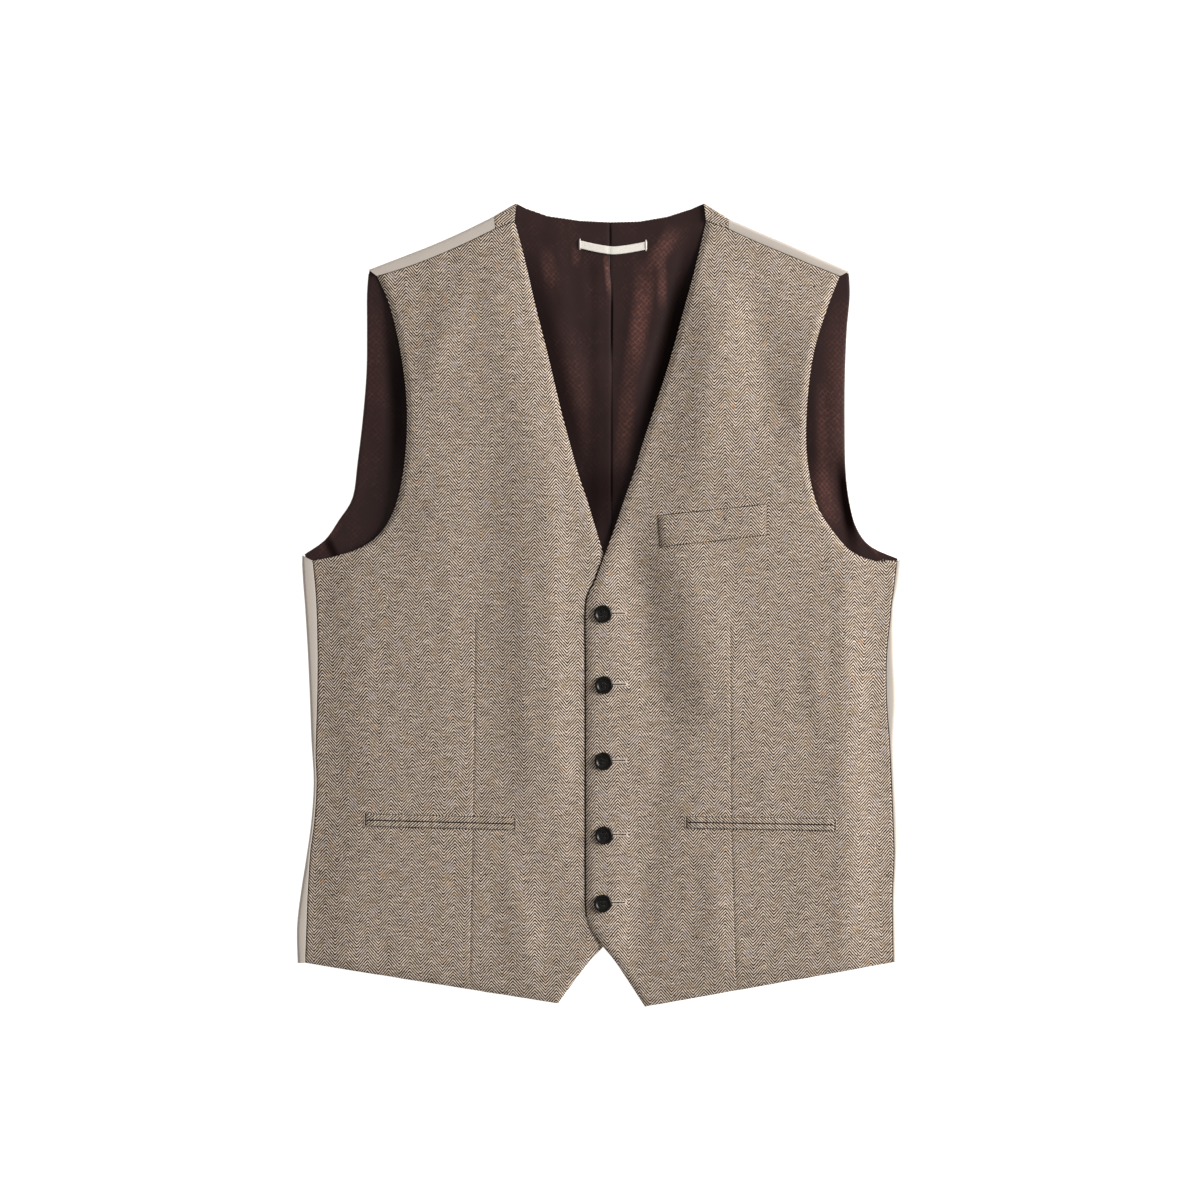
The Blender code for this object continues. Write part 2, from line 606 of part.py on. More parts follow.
def build_lining(side):
    """Half of the back lining, which shows in the neck and in both armholes."""
    upper = armhole_rows(side)
    hem_y = side.sections[0].seam_y + LINING_HEM_RISE
    outer, inner = [], []
    for i in range(LINING_LOWER_ROWS + 1):
        t = i / LINING_LOWER_ROWS
        y = lerp(hem_y, side.sections[-1].seam_y, t)
        outer.append((fold_x_at(side, y) - side.sign * LINING_INSET, y))
        y = lerp(CENTRE_HEM_Y + LINING_HEM_RISE, upper[0][6], t)
        inner.append((lining_centre(side, y), y))
    for row in upper[1:]:
        outer.append((row[2] - side.sign * EDGE_INSET, row[3]))
        inner.append((lining_centre(side, row[6]), row[6]))
    tips = [wrap(edge, seam, SEAM_GAP)[0][:2] for edge, seam in shoulder_points(side, 0, 5)]
    neck = [row for row in NECK if (row.edge_x - CENTRE_X) * side.sign > 0]
    if side.sign > 0:
        neck = neck[::-1]
    line = [shift(point, 0, -LINING_SHOULDER_DROP) for point in tips]
    line += [(row.edge_x, row.edge_y - EDGE_INSET) for row in neck]
    centre_y = NECK_EDGE_Y - EDGE_INSET
    line.append((lining_centre(side, centre_y), centre_y))
    outer[-1] = line[0]
    inner[-1] = line[-1]
    top = [along(line, u) for u in LINING_COLUMNS]
    grid = [[(x, y, lining_height(side, x, y)) for x, y, u, v in row]
            for row in patch(outer, inner, top, LINING_COLUMNS)]
    return add_sheet("lining_" + side.name, [grid], 1, LINING_WALL, -1, LINING)


# ---------------------------------------------------------------- what lies on the panels

def lay_strip(strip, height, wall, look, steps):
    """A strip of cloth between four corners, laid on a panel's surface."""
    long_steps, short_steps = steps
    rows = []
    for j in range(short_steps + 1):
        t = j / short_steps
        start = (lerp(strip.x0, strip.x3, t), lerp(strip.y0, strip.y3, t))
        end = (lerp(strip.x1, strip.x2, t), lerp(strip.y1, strip.y2, t))
        row = []
        for i in range(long_steps + 1):
            s = i / long_steps
            x, y = lerp(start[0], end[0], s), lerp(start[1], end[1], s)
            row.append((x, y, height(x, y) + LAYER_GAP))
        rows.append(row)
    return add_sheet(strip.name, [rows], 1, wall, 1, look)


def build_loop(height):
    """The hanger loop: a tape on the lining, sagging between its ends."""
    rows = []
    for i in range(LOOP_STEPS + 1):
        t = i / LOOP_STEPS
        bow = 4.0 * t * (1.0 - t)
        x = lerp(LOOP_LEFT[0], LOOP_RIGHT[0], t)
        y = lerp(LOOP_LEFT[1], LOOP_RIGHT[1], t) - LOOP_SAG * bow
        places = [(x, y + LOOP_WIDTH * (0.5 - 0.5 * j)) for j in range(3)]
        z = max(height(*place) for place in places) + LAYER_GAP + LOOP_HUMP * bow
        rows.append([(px, py, z) for px, py in places])
    return add_sheet("hanger_loop", [rows], 1, TAPE_WALL, 1, TAPE)


def button_mesh():
    """A turned button with a raised rim and four holes."""
    profile = bpy.data.meshes.new("button_profile")
    points = [(radius * MM, 0.0, z * MM) for radius, z in BUTTON_OUTLINE]
    profile.from_pydata(points, [(i, i + 1) for i in range(len(points) - 1)], [])
    turned = bpy.data.objects.new("button_blank", profile)
    collection.objects.link(turned)
    screw = turned.modifiers.new("Turn", "SCREW")
    screw.steps = BUTTON_SIDES
    screw.render_steps = BUTTON_SIDES
    screw.use_merge_vertices = True
    screw.merge_threshold = 0.0001 * MM
    cutters = []
    half = 0.5 * BUTTON_HOLE_SPACING * MM
    for i, (sx, sy) in enumerate(BUTTON_HOLES):
        bpy.ops.mesh.primitive_cylinder_add(vertices=BUTTON_HOLE_SIDES, radius=BUTTON_HOLE_RADIUS * MM,
                                            depth=BUTTON_CUT_DEPTH * MM,
                                            location=(sx * half, sy * half, 0.0))
        cutter = bpy.context.active_object
        cutter.name = "hole_cutter_%d" % (i + 1)
        cutter.hide_render = True
        cutter.display_type = "WIRE"
        hole = turned.modifiers.new("Hole %d" % (i + 1), "BOOLEAN")
        hole.object = cutter
        cutters.append(cutter)
    depsgraph = bpy.context.evaluated_depsgraph_get()
    mesh = bpy.data.meshes.new_from_object(turned.evaluated_get(depsgraph))
    for item in cutters + [turned]:
        bpy.data.objects.remove(item, do_unlink=True)
    return mesh


def build_buttons(height):
    mesh = button_mesh()
    turns = [2.0 * math.pi * k / BUTTON_REST_POINTS for k in range(BUTTON_REST_POINTS)]
    for i, (x, y) in enumerate(BUTTON_PLACES):
        ring = [(x + BUTTON_RADIUS * math.cos(a), y + BUTTON_RADIUS * math.sin(a)) for a in turns]
        top = max(height(px, py) for px, py in ring + [(x, y)])
        item = add_object("button_%d" % (i + 1), mesh.copy(), HORN)
        item.location = (x * MM, y * MM, (top + LAYER_GAP) * MM)


collection = bpy.data.collections.new("suit_waistcoat")
bpy.context.scene.collection.children.link(collection)


def main():
    clear_scene()
    fronts = [build_front(RIGHT), build_front(LEFT)]
    for side in (RIGHT, LEFT):
        build_back(side)
    build_neck_band()
    linings = [build_lining(RIGHT), build_lining(LEFT)]
    build_loop(surface_of(linings))
    lay_strip(WELT, surface_of([fronts[1]]), WELT_WALL, TWEED, WELT_STEPS)
    for strip in JETS:
        front = fronts[0] if strip.x0 < 0 else fronts[1]
        lay_strip(strip, surface_of([front]), JET_WALL, TWEED, JET_STEPS)
    build_buttons(surface_of([fronts[1]]))


main()
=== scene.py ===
"""The looks of a single-breasted suit waistcoat with five buttons, laid flat on its back.

+X is the wearer's left, +Y the neck and +Z up. Sizes are in millimetres, but for those in
the settings and where a comment says metres. Each piece is a thin shell on the form of the
solid that it stands for.
"""

import math
from collections import namedtuple

import bmesh
import bpy
from bpy.props import FloatProperty, FloatVectorProperty, IntProperty, PointerProperty
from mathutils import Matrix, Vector, noise
from mathutils.bvhtree import BVHTree


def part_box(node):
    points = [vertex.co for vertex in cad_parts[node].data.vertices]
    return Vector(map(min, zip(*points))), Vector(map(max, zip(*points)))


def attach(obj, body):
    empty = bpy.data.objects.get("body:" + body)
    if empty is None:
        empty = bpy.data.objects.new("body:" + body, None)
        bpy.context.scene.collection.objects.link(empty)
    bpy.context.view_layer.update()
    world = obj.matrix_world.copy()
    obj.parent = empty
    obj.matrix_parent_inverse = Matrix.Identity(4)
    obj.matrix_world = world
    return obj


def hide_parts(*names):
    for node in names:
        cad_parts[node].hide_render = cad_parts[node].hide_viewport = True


bl_info = {
    "name": "Suit Waistcoat",
    "version": (1, 0, 0),
    "blender": (4, 5, 0),
    "location": "View3D > Sidebar > Waistcoat",
    "description": "Builds a herringbone tweed waistcoat with a satin back, laid flat",
    "category": "Object",
}

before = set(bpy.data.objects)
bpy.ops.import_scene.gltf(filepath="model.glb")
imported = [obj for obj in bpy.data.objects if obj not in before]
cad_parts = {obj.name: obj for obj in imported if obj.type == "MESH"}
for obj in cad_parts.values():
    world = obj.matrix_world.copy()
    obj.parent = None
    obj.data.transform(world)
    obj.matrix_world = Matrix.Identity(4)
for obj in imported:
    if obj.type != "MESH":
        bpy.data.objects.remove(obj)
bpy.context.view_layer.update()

MM = 0.001
BODY = "root"
UV_NAME = "cloth"

# ---- sizes of the panels
# The solids have the same ones. Only the shoulder's roll, the lap's lift, the underlap's drop
# and the pleat's lean are softer here.

# Walls of cloth, the gaps at a seam and between layers, and the narrowest rolled strip.
SATIN_WALL = 1.2
LINING_WALL = 1.0
TWEED_WALL = 2.3
JET_WALL = 1.0
WELT_WALL = 1.4
TAPE_WALL = 0.9
SEAM_GAP = 0.3
LAYER_GAP = 0.3
MIN_STRIP = 2.8

# The roll of the satin, the heights of the layers and the round form of the fronts.
FOLD_RADIUS = 2.7
FOLD_TOP = 2 * FOLD_RADIUS
LINING_TOP = SATIN_WALL + LAYER_GAP + LINING_WALL
FRONT_TOP = LINING_TOP + LAYER_GAP + TWEED_WALL
FRONT_EASE = 2.5
FRONT_CROWN = 3.2
CROWN_WIDTH = 0.88
CROWN_POWER = 0.7
HEM_REST = 0.6
CHEST_RISE = 2.0
CHEST_Y = 44.0
CHEST_RUN = 70.0
CHEST_SLOPE = 0.34
HEM_CROWN = 0.5
HEM_CROWN_Y = -170.0
HEM_CROWN_RUN = 120.0

# How far in from its edges a front rolls down to the satin, or droops past the back's hem.
SIDE_ROLL = 50.0
SIDE_ROLL_END = 50.0
SHOULDER_ROLL = 68.0
HEM_DROOP = 54.0
# The share of a fold's length over which its ends fade, and how many reaches wide it is.
FOLD_FADE = 0.22
FOLD_CUTOFF = 4.0

# The lap of the left front, and the place that the right one makes for it.
OVERLAP_LIFT = TWEED_WALL + 0.2
OVERLAP_X = 8.0
OVERLAP_REACH = 30.0
OVERLAP_Y = 52.0
OVERLAP_RUN = 45.0
UNDERLAP_DROP = 0.6
UNDERLAP_X = -14.0
UNDERLAP_REACH = 14.0

# The back and its lining: centre line, hem and neck, and how far the lining stays inside.
CENTRE_X = 9.8
CENTRE_HEM_Y = -289.5
SIDE_HEM_Y = -303.0
BACK_HALF_WIDTH = 255.0
NECK_EDGE_Y = 324.9
NECK_SEAM_Y = 305.9
TOP_REACH = 0.85
LINING_HEM_RISE = 24.0
LINING_INSET = 5.0
EDGE_INSET = 0.5
LINING_SHOULDER_DROP = 1.4

# The centre pleat: it starts at the neck, opens below it and is full further down.
PLEAT_LIFT = 1.3
PLEAT_DEPTH = 8.0
PLEAT_LEAN = 1.4
PLEAT_START_Y = 300.0
PLEAT_OPEN_Y = 286.0
PLEAT_FULL_Y = 258.0
PLEAT_RAMP_X = 18.0
PLEAT_RAMP = 9.0

# The open neck, in which the lining's folds show.
VEE_INSET = 3.0
VEE_FADE = 12.0
VEE_POINT_Y = 60.0
VEE_POINT_FADE = 50.0


def table(kind, *rows):
    """Rows of one kind."""
    return tuple(kind(*row) for row in rows)


Section = namedtuple("Section", "name seam_x seam_y fold_x edge_x edge_y")
Armhole = namedtuple("Armhole", "name front_x front_y back_x back_y edge_x edge_y centre_y")
Shoulder = namedtuple("Shoulder", "name fold_x fold_y seam_x seam_y")
Neck = namedtuple("Neck", "name edge_x edge_y seam_x seam_y")
Fold = namedtuple("Fold", "name x0 y0 x1 y1 reach height")
Strip = namedtuple("Strip", "name x0 y0 x1 y1 x2 y2 x3 y3")
Dart = namedtuple("Dart", "top_x top_y middle_x low_x low_y start_u")
Line = namedtuple("Line", "name x0 y0 x1 y1 width stitch spacing rise")
Side = namedtuple("Side", "name sign sections armhole shoulder dart weave_x weave_y")
Fleck = namedtuple("Fleck", "yarn x y stretch scale detail low high share")
Stitches = namedtuple("Stitches", "thread slot spacing length width turn wander")

# From hem to underarm: the side seam, the rolled outer edge and the front's own edge.
RIGHT_SECTIONS = table(
    Section,
    ("hem", -249, -304.5, -255.6, -34.4, -339.2),
    ("point", -247.8, -275, -256.2, -10.5, -306.9),
    ("notch", -246.8, -247, -253.2, 6.5, -287.5),
    ("corner", -245, -216, -248.4, 17.8, -266.5),
    ("pocket", -242.6, -184, -244, 18.7, -233),
    ("waist", -240.6, -150, -242, 18.7, -190),
    ("third_button", -239.9, -116, -243.9, 18.7, -145),
    ("rib", -238.6, -80, -245.2, 18.7, -98),
    ("second_button", -238.3, -42, -246.9, 18.7, -52),
    ("first_button", -239.2, -4, -249.2, 18.7, -6),
    ("vee_turn", -240.6, 18, -250.9, 12.5, 21),
    ("underarm", -242.7, 37.2, -252, 4, 44),
)
LEFT_SECTIONS = table(
    Section,
    ("hem", 251.3, -304, 252.9, 39.5, -342),
    ("point", 250.9, -277, 252.4, 15, -304.5),
    ("notch", 250.6, -247, 252.1, 1.5, -287.5),
    ("corner", 251, -216, 253.6, -9.2, -267.5),
    ("pocket", 250, -184, 253.6, -10.6, -233),
    ("waist", 248.6, -150, 251.8, -10.6, -190),
    ("third_button", 247, -116, 251, -10.6, -145),
    ("rib", 244.4, -80, 252.6, -10.6, -98),
    ("second_button", 244.6, -42, 251, -10.6, -52),
    ("first_button", 248.4, -4, 250.9, -10.4, 0),
    ("vee_turn", 251, 18, 254.9, -3, 20),
    ("underarm", 253, 36, 257.2, 5.2, 42),
)

# From underarm to shoulder: the front's armhole edge, the back's, the neckline edge
# and the height of the same row on the centre back line.
RIGHT_ARMHOLE = table(
    Armhole,
    ("underarm", -242.7, 37.2, -251.8, 41.6, 4, 44, 37),
    ("scye", -222, 41.5, -233, 54.4, -3, 67, 62),
    ("curve", -202, 48.5, -220.6, 71.8, -10, 90, 88),
    ("turn", -184.5, 61.5, -209, 91, -17.5, 112.5, 114),
    ("chest", -172, 85, -204.8, 121, -24.5, 138, 144),
    ("pitch", -164.6, 121, -200.4, 158, -33, 170, 180),
    ("blade", -162.6, 166, -197.2, 198, -42.5, 210.5, 220),
    ("pleat", -167.5, 211.5, -196.8, 236, -53, 252, 258),
    ("loop", -177.2, 253, -196.8, 264, -62.5, 293, 286),
    ("shoulder", -188.1, 278.8, -195.2, 284.4, -71.2, 325.7, 305.6),
)
LEFT_ARMHOLE = table(
    Armhole,
    ("underarm", 253, 36, 257.2, 38, 5.2, 42, 37),
    ("scye", 233, 37.5, 232, 49, 13.5, 64.5, 62),
    ("curve", 213, 46.5, 219.5, 65, 22.5, 91, 88),
    ("turn", 196, 66.5, 213.4, 87, 31, 115, 114),
    ("chest", 184.5, 87.5, 210.2, 115, 38.5, 140, 144),
    ("pitch", 177, 125, 209.5, 153, 48.2, 169, 180),
    ("blade", 177, 170, 209.7, 193, 59.8, 205, 220),
    ("pleat", 183, 215, 211.2, 232, 71.5, 247, 258),
    ("loop", 194.5, 252, 213.8, 262, 81.3, 283, 286),
    ("shoulder", 204.9, 278.8, 213, 283, 91.4, 325.6, 305.6),
)

# Along the shoulder, from its tip to the neck: the rolled edge and the seam in front.
RIGHT_SHOULDER = table(
    Shoulder,
    ("tip", -195.2, 284.4, -188.1, 278.8),
    ("outer", -167.6, 295, -163.5, 286.2),
    ("middle", -141.5, 305.2, -138, 295.9),
    ("inner", -115.5, 316.7, -112, 307.3),
    ("band", -88.8, 329.8, -87.6, 319.2),
    ("neck", -69.8, 341, -71.2, 325.7),
)
LEFT_SHOULDER = table(
    Shoulder,
    ("tip", 213, 283, 204.9, 278.8),
    ("outer", 189, 293.6, 185.5, 286.4),
    ("middle", 162.8, 305.2, 158.5, 297.6),
    ("inner", 137, 316.2, 133, 308.2),
    ("band", 110.9, 327.7, 110.1, 318.8),
    ("neck", 89.6, 341, 91.4, 325.7),
)

# The row of both tables where the neck band begins.
BAND_ROW = 4

# Round the back of the neck: the open edge and the seam that joins the band to the satin.
NECK = table(
    Neck,
    ("right_turn", -59.6, 336, -74.5, 317.6),
    ("right_run", -43.2, 330.2, -53, 310.3),
    ("right_back", -15.7, 326.2, -19.5, 307.2),
    ("centre", CENTRE_X, NECK_EDGE_Y, CENTRE_X, NECK_SEAM_Y),
    ("left_back", 35, 325.6, 37.5, 306.6),
    ("left_run", 58.5, 329.6, 68, 310.6),
    ("left_turn", 76, 335.2, 91, 317.4),
)

# The fronts' main folds: the ends of each one's line, its reach to each side and its height.
FRONT_FOLDS = table(
    Fold,
    ("right_vee_ridge", -78, 280, -48, 120, 19, 1.6),
    ("right_drape", -54, 160, -52, -172, 27, 2.8),
    ("right_placket_ridge", -40, 116, -37, -176, 15, 2.2),
    ("right_drape_trough", -100, 130, -98, -150, 20, -1.2),
    ("right_shoulder", -120, 266, -143, 190, 14, 2.5),
    ("right_chest", -140, 150, -136, 30, 24, 1),
    ("right_side", -222, 20, -224, -280, 20, 0.9),
    ("right_hem", -73, -222, -66, -310, 13, 1.6),
    ("left_vee_ridge", 92, 284, 94, 116, 24, 3),
    ("left_shoulder_trough", 124, 290, 152, 146, 17, -2.8),
    ("left_pocket_trough", 36, 42, 60, -104, 18, -2.6),
    ("left_pocket_ridge", 68, 60, 104, -96, 26, 3.6),
    ("left_low_trough", 58, -110, 32, -290, 15, -1.8),
    ("left_waist_crease", 181, -24, 188, -98, 9, 1.3),
    ("left_side_ridge", 205, 10, 206, -286, 23, 1.6),
    ("left_hem", 98, -214, 94, -300, 14, 1.6),
    ("left_hem_outer", 176, -206, 172, -292, 14, 0.8),
)
# The lining's folds and creases: in the open neck, where they fade under the fronts, and at
# the armholes.
NECK_FOLDS = table(
    Fold,
    ("neck_ridge", 57, 312, 30, 170, 13, 2.4),
    ("neck_low_ridge", -36, 296, -20, 170, 11, 1.2),
    ("neck_left_crease", 66, 300, 46, 214, 6, 0.7),
    ("neck_mid_crease", 30, 290, 26, 214, 6, 0.4),
    ("neck_right_crease", -16, 290, -8, 226, 5, 0.4),
)
ARM_FOLDS = table(
    Fold,
    ("armhole_left", 203, 220, 201, 110, 7, 1.1),
    ("armhole_right", -187, 232, -184, 130, 7, 0.9),
    ("arm_left_crease", 208, 92, 236, 48, 4, 0.8),
    ("arm_left_trough", 200, 88, 226, 44, 4, -0.7),
)

# The corners of the breast welt and of the hip pockets' jets.
WELT = Strip("breast_welt", 50.6, 75.2, 142.4, 84.6, 142.4, 59.1, 52.3, 48.9)
JETS = table(
    Strip,
    ("hip_jet_right_upper", -197.2, -177.9, -71.6, -181.1, -71.6, -186.1, -197.2, -182.9),
    ("hip_jet_right_lower", -197.2, -183.2, -71.6, -186.4, -71.6, -191.2, -197.2, -188.1),
    ("hip_jet_left_upper", 75.2, -180.1, 200.2, -181.9, 200.2, -186.9, 75.2, -184.7),
    ("hip_jet_left_lower", 75.2, -185, 200.2, -187.2, 200.2, -191.9, 75.2, -189.8),
)
# The middles of the buttons, and the hanger loop.
BUTTON_PLACES = ((3.8, -8.1), (4.7, -68.4), (4.2, -133.0), (4.7, -195.9), (3.8, -253.7))

LOOP_LEFT = (-16.6, 306.0)
LOOP_RIGHT = (41.2, 305.0)
LOOP_SAG = 4.8
LOOP_WIDTH = 6.8
LOOP_HUMP = 0.7

# ---- sizes of the looks alone

# The loop's sag, between a round bow and a soft point over the seam, and how level its
# width is kept.
LOOP_POINT = 0.6
LOOP_BOW_POWER = 1.3
LOOP_POINT_POWER = 1.2
LOOP_LEVEL = 0.8
TACK_IN = 0.9
TACK_POINTS = (-4.4, -2.2, 0.0, 2.2, 4.6)
TACK_RISE = 0.3

# Fine creases, on top of the main folds.
FRONT_CREASES = table(
    Fold,
    ("right_neck_crease", -96, 262, -70, 236, 6, 0.4),
    ("right_arm_crease", -150, 118, -118, 96, 7, 0.5),
    ("left_rib_crease", 214, -60, 168, -84, 6, 0.4),
    ("left_pocket_crease", 18, 58, 46, -100, 15, -1.6),
    ("left_tip_trough", 146, 268, 170, 208, 26, -2.6),
    ("left_tip_ridge", 208, 284, 192, 150, 34, 2.8),
    ("left_side_crease", 216, 30, 218, -296, 16, 1.7),
    ("right_low_crease", -64, 40, -58, -160, 10, 1.1),
    ("right_hem_crease", -62, -250, -56, -318, 9, 0.9),
    ("left_hem_crease", 101, -240, 104, -316, 8, 0.6),
)
# The lining's bands of painted highlight, in burgundy where its folds turn to the light, and of painted
# shadow beside the fronts' edges, in the pleat, the seam and the folds: the last number is how much.
# A band is full to BAND_CORE of its reach, and ends at BAND_SIDE of it and at BAND_END of its
# half length.
BAND_CORE = 0.2
BAND_SIDE = 1.5
BAND_END = 1.2
# Painted highlights on the lining: burgundy along the lit folds, and the lit edge of the pleat.
LINING_PAINTED_HIGHLIGHTS = table(
    Fold,
    ("neck_ridge_top", 66, 321, 42, 282, 7, 0.75),
    ("neck_ridge", 42, 290, 28, 190, 7.5, 1),
    ("neck_ridge_low", 28, 205, 18, 110, 6.5, 0.5),
    ("neck_outer", 54, 296, 54, 250, 4, 0.8),
    ("neck_left", -45, 306, -40, 270, 6, 0.40),
    ("neck_mid", -19, 310, -19, 286, 4, 0.35),
    ("neck_low", -26, 240, -8, 130, 12, 0.25),
    ("flame", 5.6, 299, 9.2, 262, 2, 1),
    ("arm_left", 206, 262, 198, 90, 11, 0.36),
    ("arm_left_edge", 188, 196, 190, 110, 5, 0.35),
    ("arm_right", -193, 270, -190, 130, 12, 0.22),
    ("arm_left_low", 186, 122, 200, 62, 8, 0.62),
    ("arm_low", 220, 72, 240, 42, 4, 0.9),
    ("arm_right_low", -218, 72, -240, 46, 4, 0.3),
)
# Painted shadow on the lining: beside the fronts' edges, in the pleat and the seam, and in the folds.
LINING_SHADES = table(
    Fold,
    ("neck_right", 86, 322, 34, 108, 13, 0.85),
    ("neck_left", -66, 320, -12, 100, 9, 0.6),
    ("pleat_high", 11.6, 276, 11.2, 204, 1.1, 1.2),
    ("pleat", 11.2, 230, 11.2, 60, 1.1, 0.6),
    ("neck_deep", 6, 190, 4, 80, 34, 0.28),
    ("seam", 10.2, 326, 10.2, 300, 1.2, 0.8),
    ("arm_left_front", 178, 200, 182, 60, 8, 0.3),
    ("arm_left_fold", 204, 132, 218, 40, 5.5, 1.1),
    ("arm_right_fold", -234, 62, -220, 34, 4, 0.8),
    ("arm_right_front", -171, 240, -170, 90, 8, 0.6),
    ("v_point", 4, 120, 4, 50, 22, 0.5),
)
# Wrinkles all over, smoother on the lap, and puckers along the side seams.
WRINKLE_HEIGHT = 0.32
WRINKLE_LENGTH = 34.0
WRINKLE_STRETCH = 0.7
LAP_SMOOTHING = 0.8
PUCKER_HEIGHT = 0.22
PUCKER_LENGTH = 9.0
PUCKER_STRETCH = 0.3
PUCKER_REACH = 12.0
PUCKER_FADE = 20.0
PUCKER_SEED = 3.0
LINING_WRINKLE_HEIGHT = 0.35
LINING_WRINKLE_LENGTH = 22.0
LINING_WRINKLE_SEED = 17.0
# Small waves of the hem, in its first rows.
EDGE_WAVE = 0.35
EDGE_WAVE_LENGTH = 17.0
EDGE_WAVE_ROWS = 3.0
EDGE_WAVE_SEED = 7.0
# Open edges pressed thin, at the armhole from this many rows above its lower end.
EDGE_PRESS = 1.8
EDGE_PRESS_REACH = 5.0
EDGE_PRESS_ROWS = 2.0
# How far the weave drifts across and along, the length of that drift and its seed.
DRIFT_ACROSS = (0.9, 60.0, 11.0)
DRIFT_ALONG = (1.2, 75.0, 13.0)

# Darts: a stitched groove down each front, above and below the hip pocket. What a dart takes
# in grows from its top over DART_RUN, and eases off below DART_EASING_Y.
RIGHT_DART = Dart(-104.1, -7.2, -106.2, -109.2, -318.0, 0.52)
LEFT_DART = Dart(112.3, -15.4, 112.6, 117.0, -322.0, 0.52)
DART_DEPTH = 0.55
DART_WIDTH = 0.8
DART_START = 10.0
DART_INTAKE = 5.5
DART_RUN = 130.0
DART_EASING = 0.35
DART_EASING_Y = -190.0
DART_EASING_RUN = 120.0
DART_COLUMNS = (-3.4, -1.8, -0.8, 0.0, 0.8, 1.8, 3.4)
DART_BLEND = 60.0

RIGHT = Side("right", -1, RIGHT_SECTIONS, RIGHT_ARMHOLE, RIGHT_SHOULDER, RIGHT_DART, 54.3, 0.0)
LEFT = Side("left", 1, LEFT_SECTIONS, LEFT_ARMHOLE, LEFT_SHOULDER, LEFT_DART, -16.7, 1.3)
SIDES = (RIGHT, LEFT)

# Fine dark lines where the pockets are sewn in, of seam thread that also paints the shade in the seams'
# grooves and, along the welt's mouth, the shade of the pocket's opening: the line's ends, its width, one
# stitch, the distance to the next and the height of its middle over the cloth.
WELT_LINES = table(
    Line,
    ("mouth", 51, 75.6, 142.6, 85, 0.95, 2.4, 2.5, 0.05),
    ("foot", 53.4, 48.8, 142, 58.7, 0.42, 2.2, 2.7, 0.05),
    ("left_end", 50.4, 74.4, 52.1, 49.6, 0.42, 1.8, 1.9, 0.05),
    ("left_inner", 51.9, 74, 53.6, 50.4, 0.34, 1.3, 2, 0.05),
    ("right_end", 143.3, 83.4, 143.3, 59.6, 0.70, 1.6, 2.5, 0.05),
)
JET_LINES = table(
    Line,
    ("right_top", -196.6, -177.8, -72, -180.9, 0.62, 2.3, 2, 0.15),
    ("right_foot", -196.6, -188.2, -72, -191.4, 0.36, 2.2, 2.4, 0),
    ("right_outer_end", -197.5, -178.2, -197.5, -187.6, 0.70, 1.7, 1.2, 0.1),
    ("right_inner_end", -71.3, -181.4, -71.3, -190.8, 0.75, 1.7, 1.2, 0.1),
    ("left_top", 75.8, -180, 199.8, -181.8, 0.62, 2.3, 2, 0.15),
    ("left_foot", 75.8, -190, 199.8, -192, 0.36, 2.2, 2.4, 0),
    ("left_inner_end", 74.9, -180.4, 74.9, -189.4, 0.70, 1.7, 1.2, 0.1),
    ("left_outer_end", 200.5, -182.2, 200.5, -191.4, 0.75, 1.7, 1.2, 0.1),
)
# The mouths between the jets: near-black rows of painted shade in the slits.
SLIT_SHADE_LINES = table(
    Line,
    ("right", -195.4, -183.03, -73, -186.2, 1.15, 2.6, 1, 1.05),
    ("left", 77, -184.93, 198.6, -187.02, 1.15, 2.6, 1, 1.05),
)
# Pale lines beside them, where the folded ends are caught down.
PALE_LINES = table(
    Line,
    ("welt_right", 141.7, 82.6, 141.7, 60.2, 0.80, 2, 1.8, 0.05),
    ("right_outer", -198.8, -178.6, -198.8, -187.2, 0.85, 1.7, 1.4, 0.05),
    ("right_inner", -70.1, -182.2, -70.1, -191.6, 0.70, 1.7, 1.4, 0.05),
    ("left_inner", 73.7, -180.8, 73.7, -189, 0.85, 1.7, 1.4, 0.05),
    ("left_outer", 201.7, -182.8, 201.7, -191, 0.70, 1.7, 1.4, 0.05),
)
LINE_STEP = 2.0
LINE_WANDER = 0.06
# Where the darts' rows stop: above and below the pocket, and at the hem.
DART_ABOVE = 2.0
DART_BELOW = 12.0
HEM_STOP_Y = -316.0
# The near-black row of painted shadow, tucked under the left front's edge where its lap casts shade: how far
# in it lies, and where it stops towards the hem.
EDGE_SHADOW_IN = -0.4
EDGE_SHADOW_LOW = -266.0

# The stitches of each row: how far apart they are, their length and width, and how far they
# turn from the row and wander from that, in radians.
ACROSS = 0.5 * math.pi
TACK_STITCHES = Stitches("tack_thread", "tape", 0.42, 1.3, 0.6, ACROSS, 0.25)
HOLE_STITCHES = Stitches("buttonhole_thread", "tweed", 0.62, 1.6, 0.56, ACROSS, 0.14)
# Near-black rows of painted shade in the buttonholes' slits.
SLIT_SHADE_STITCHES = Stitches("pocket_inside", "lining", 0.9, 1.5, 0.56, 0.0, 0.02)
BAR_STITCHES = Stitches("buttonhole_thread", "tweed", 0.5, 1.3, 0.5, ACROSS, 0.1)
BUTTON_STITCHES = Stitches("button_thread", "button", 0.35, 0.9, 0.42, 0.25, 0.1)
# Dark seam thread, which also paints the shade in the darts' grooves and the pockets' seams.
DART_STITCHES = Stitches("seam_thread", "tweed", 2.0, 2.1, 0.36, 0.0, 0.02)
# Near-black row of painted shadow under the left front's edge.
EDGE_SHADOW_STITCHES = Stitches("pocket_inside", "tweed", 1.1, 4.0, 1.5, 0.0, 0.02)
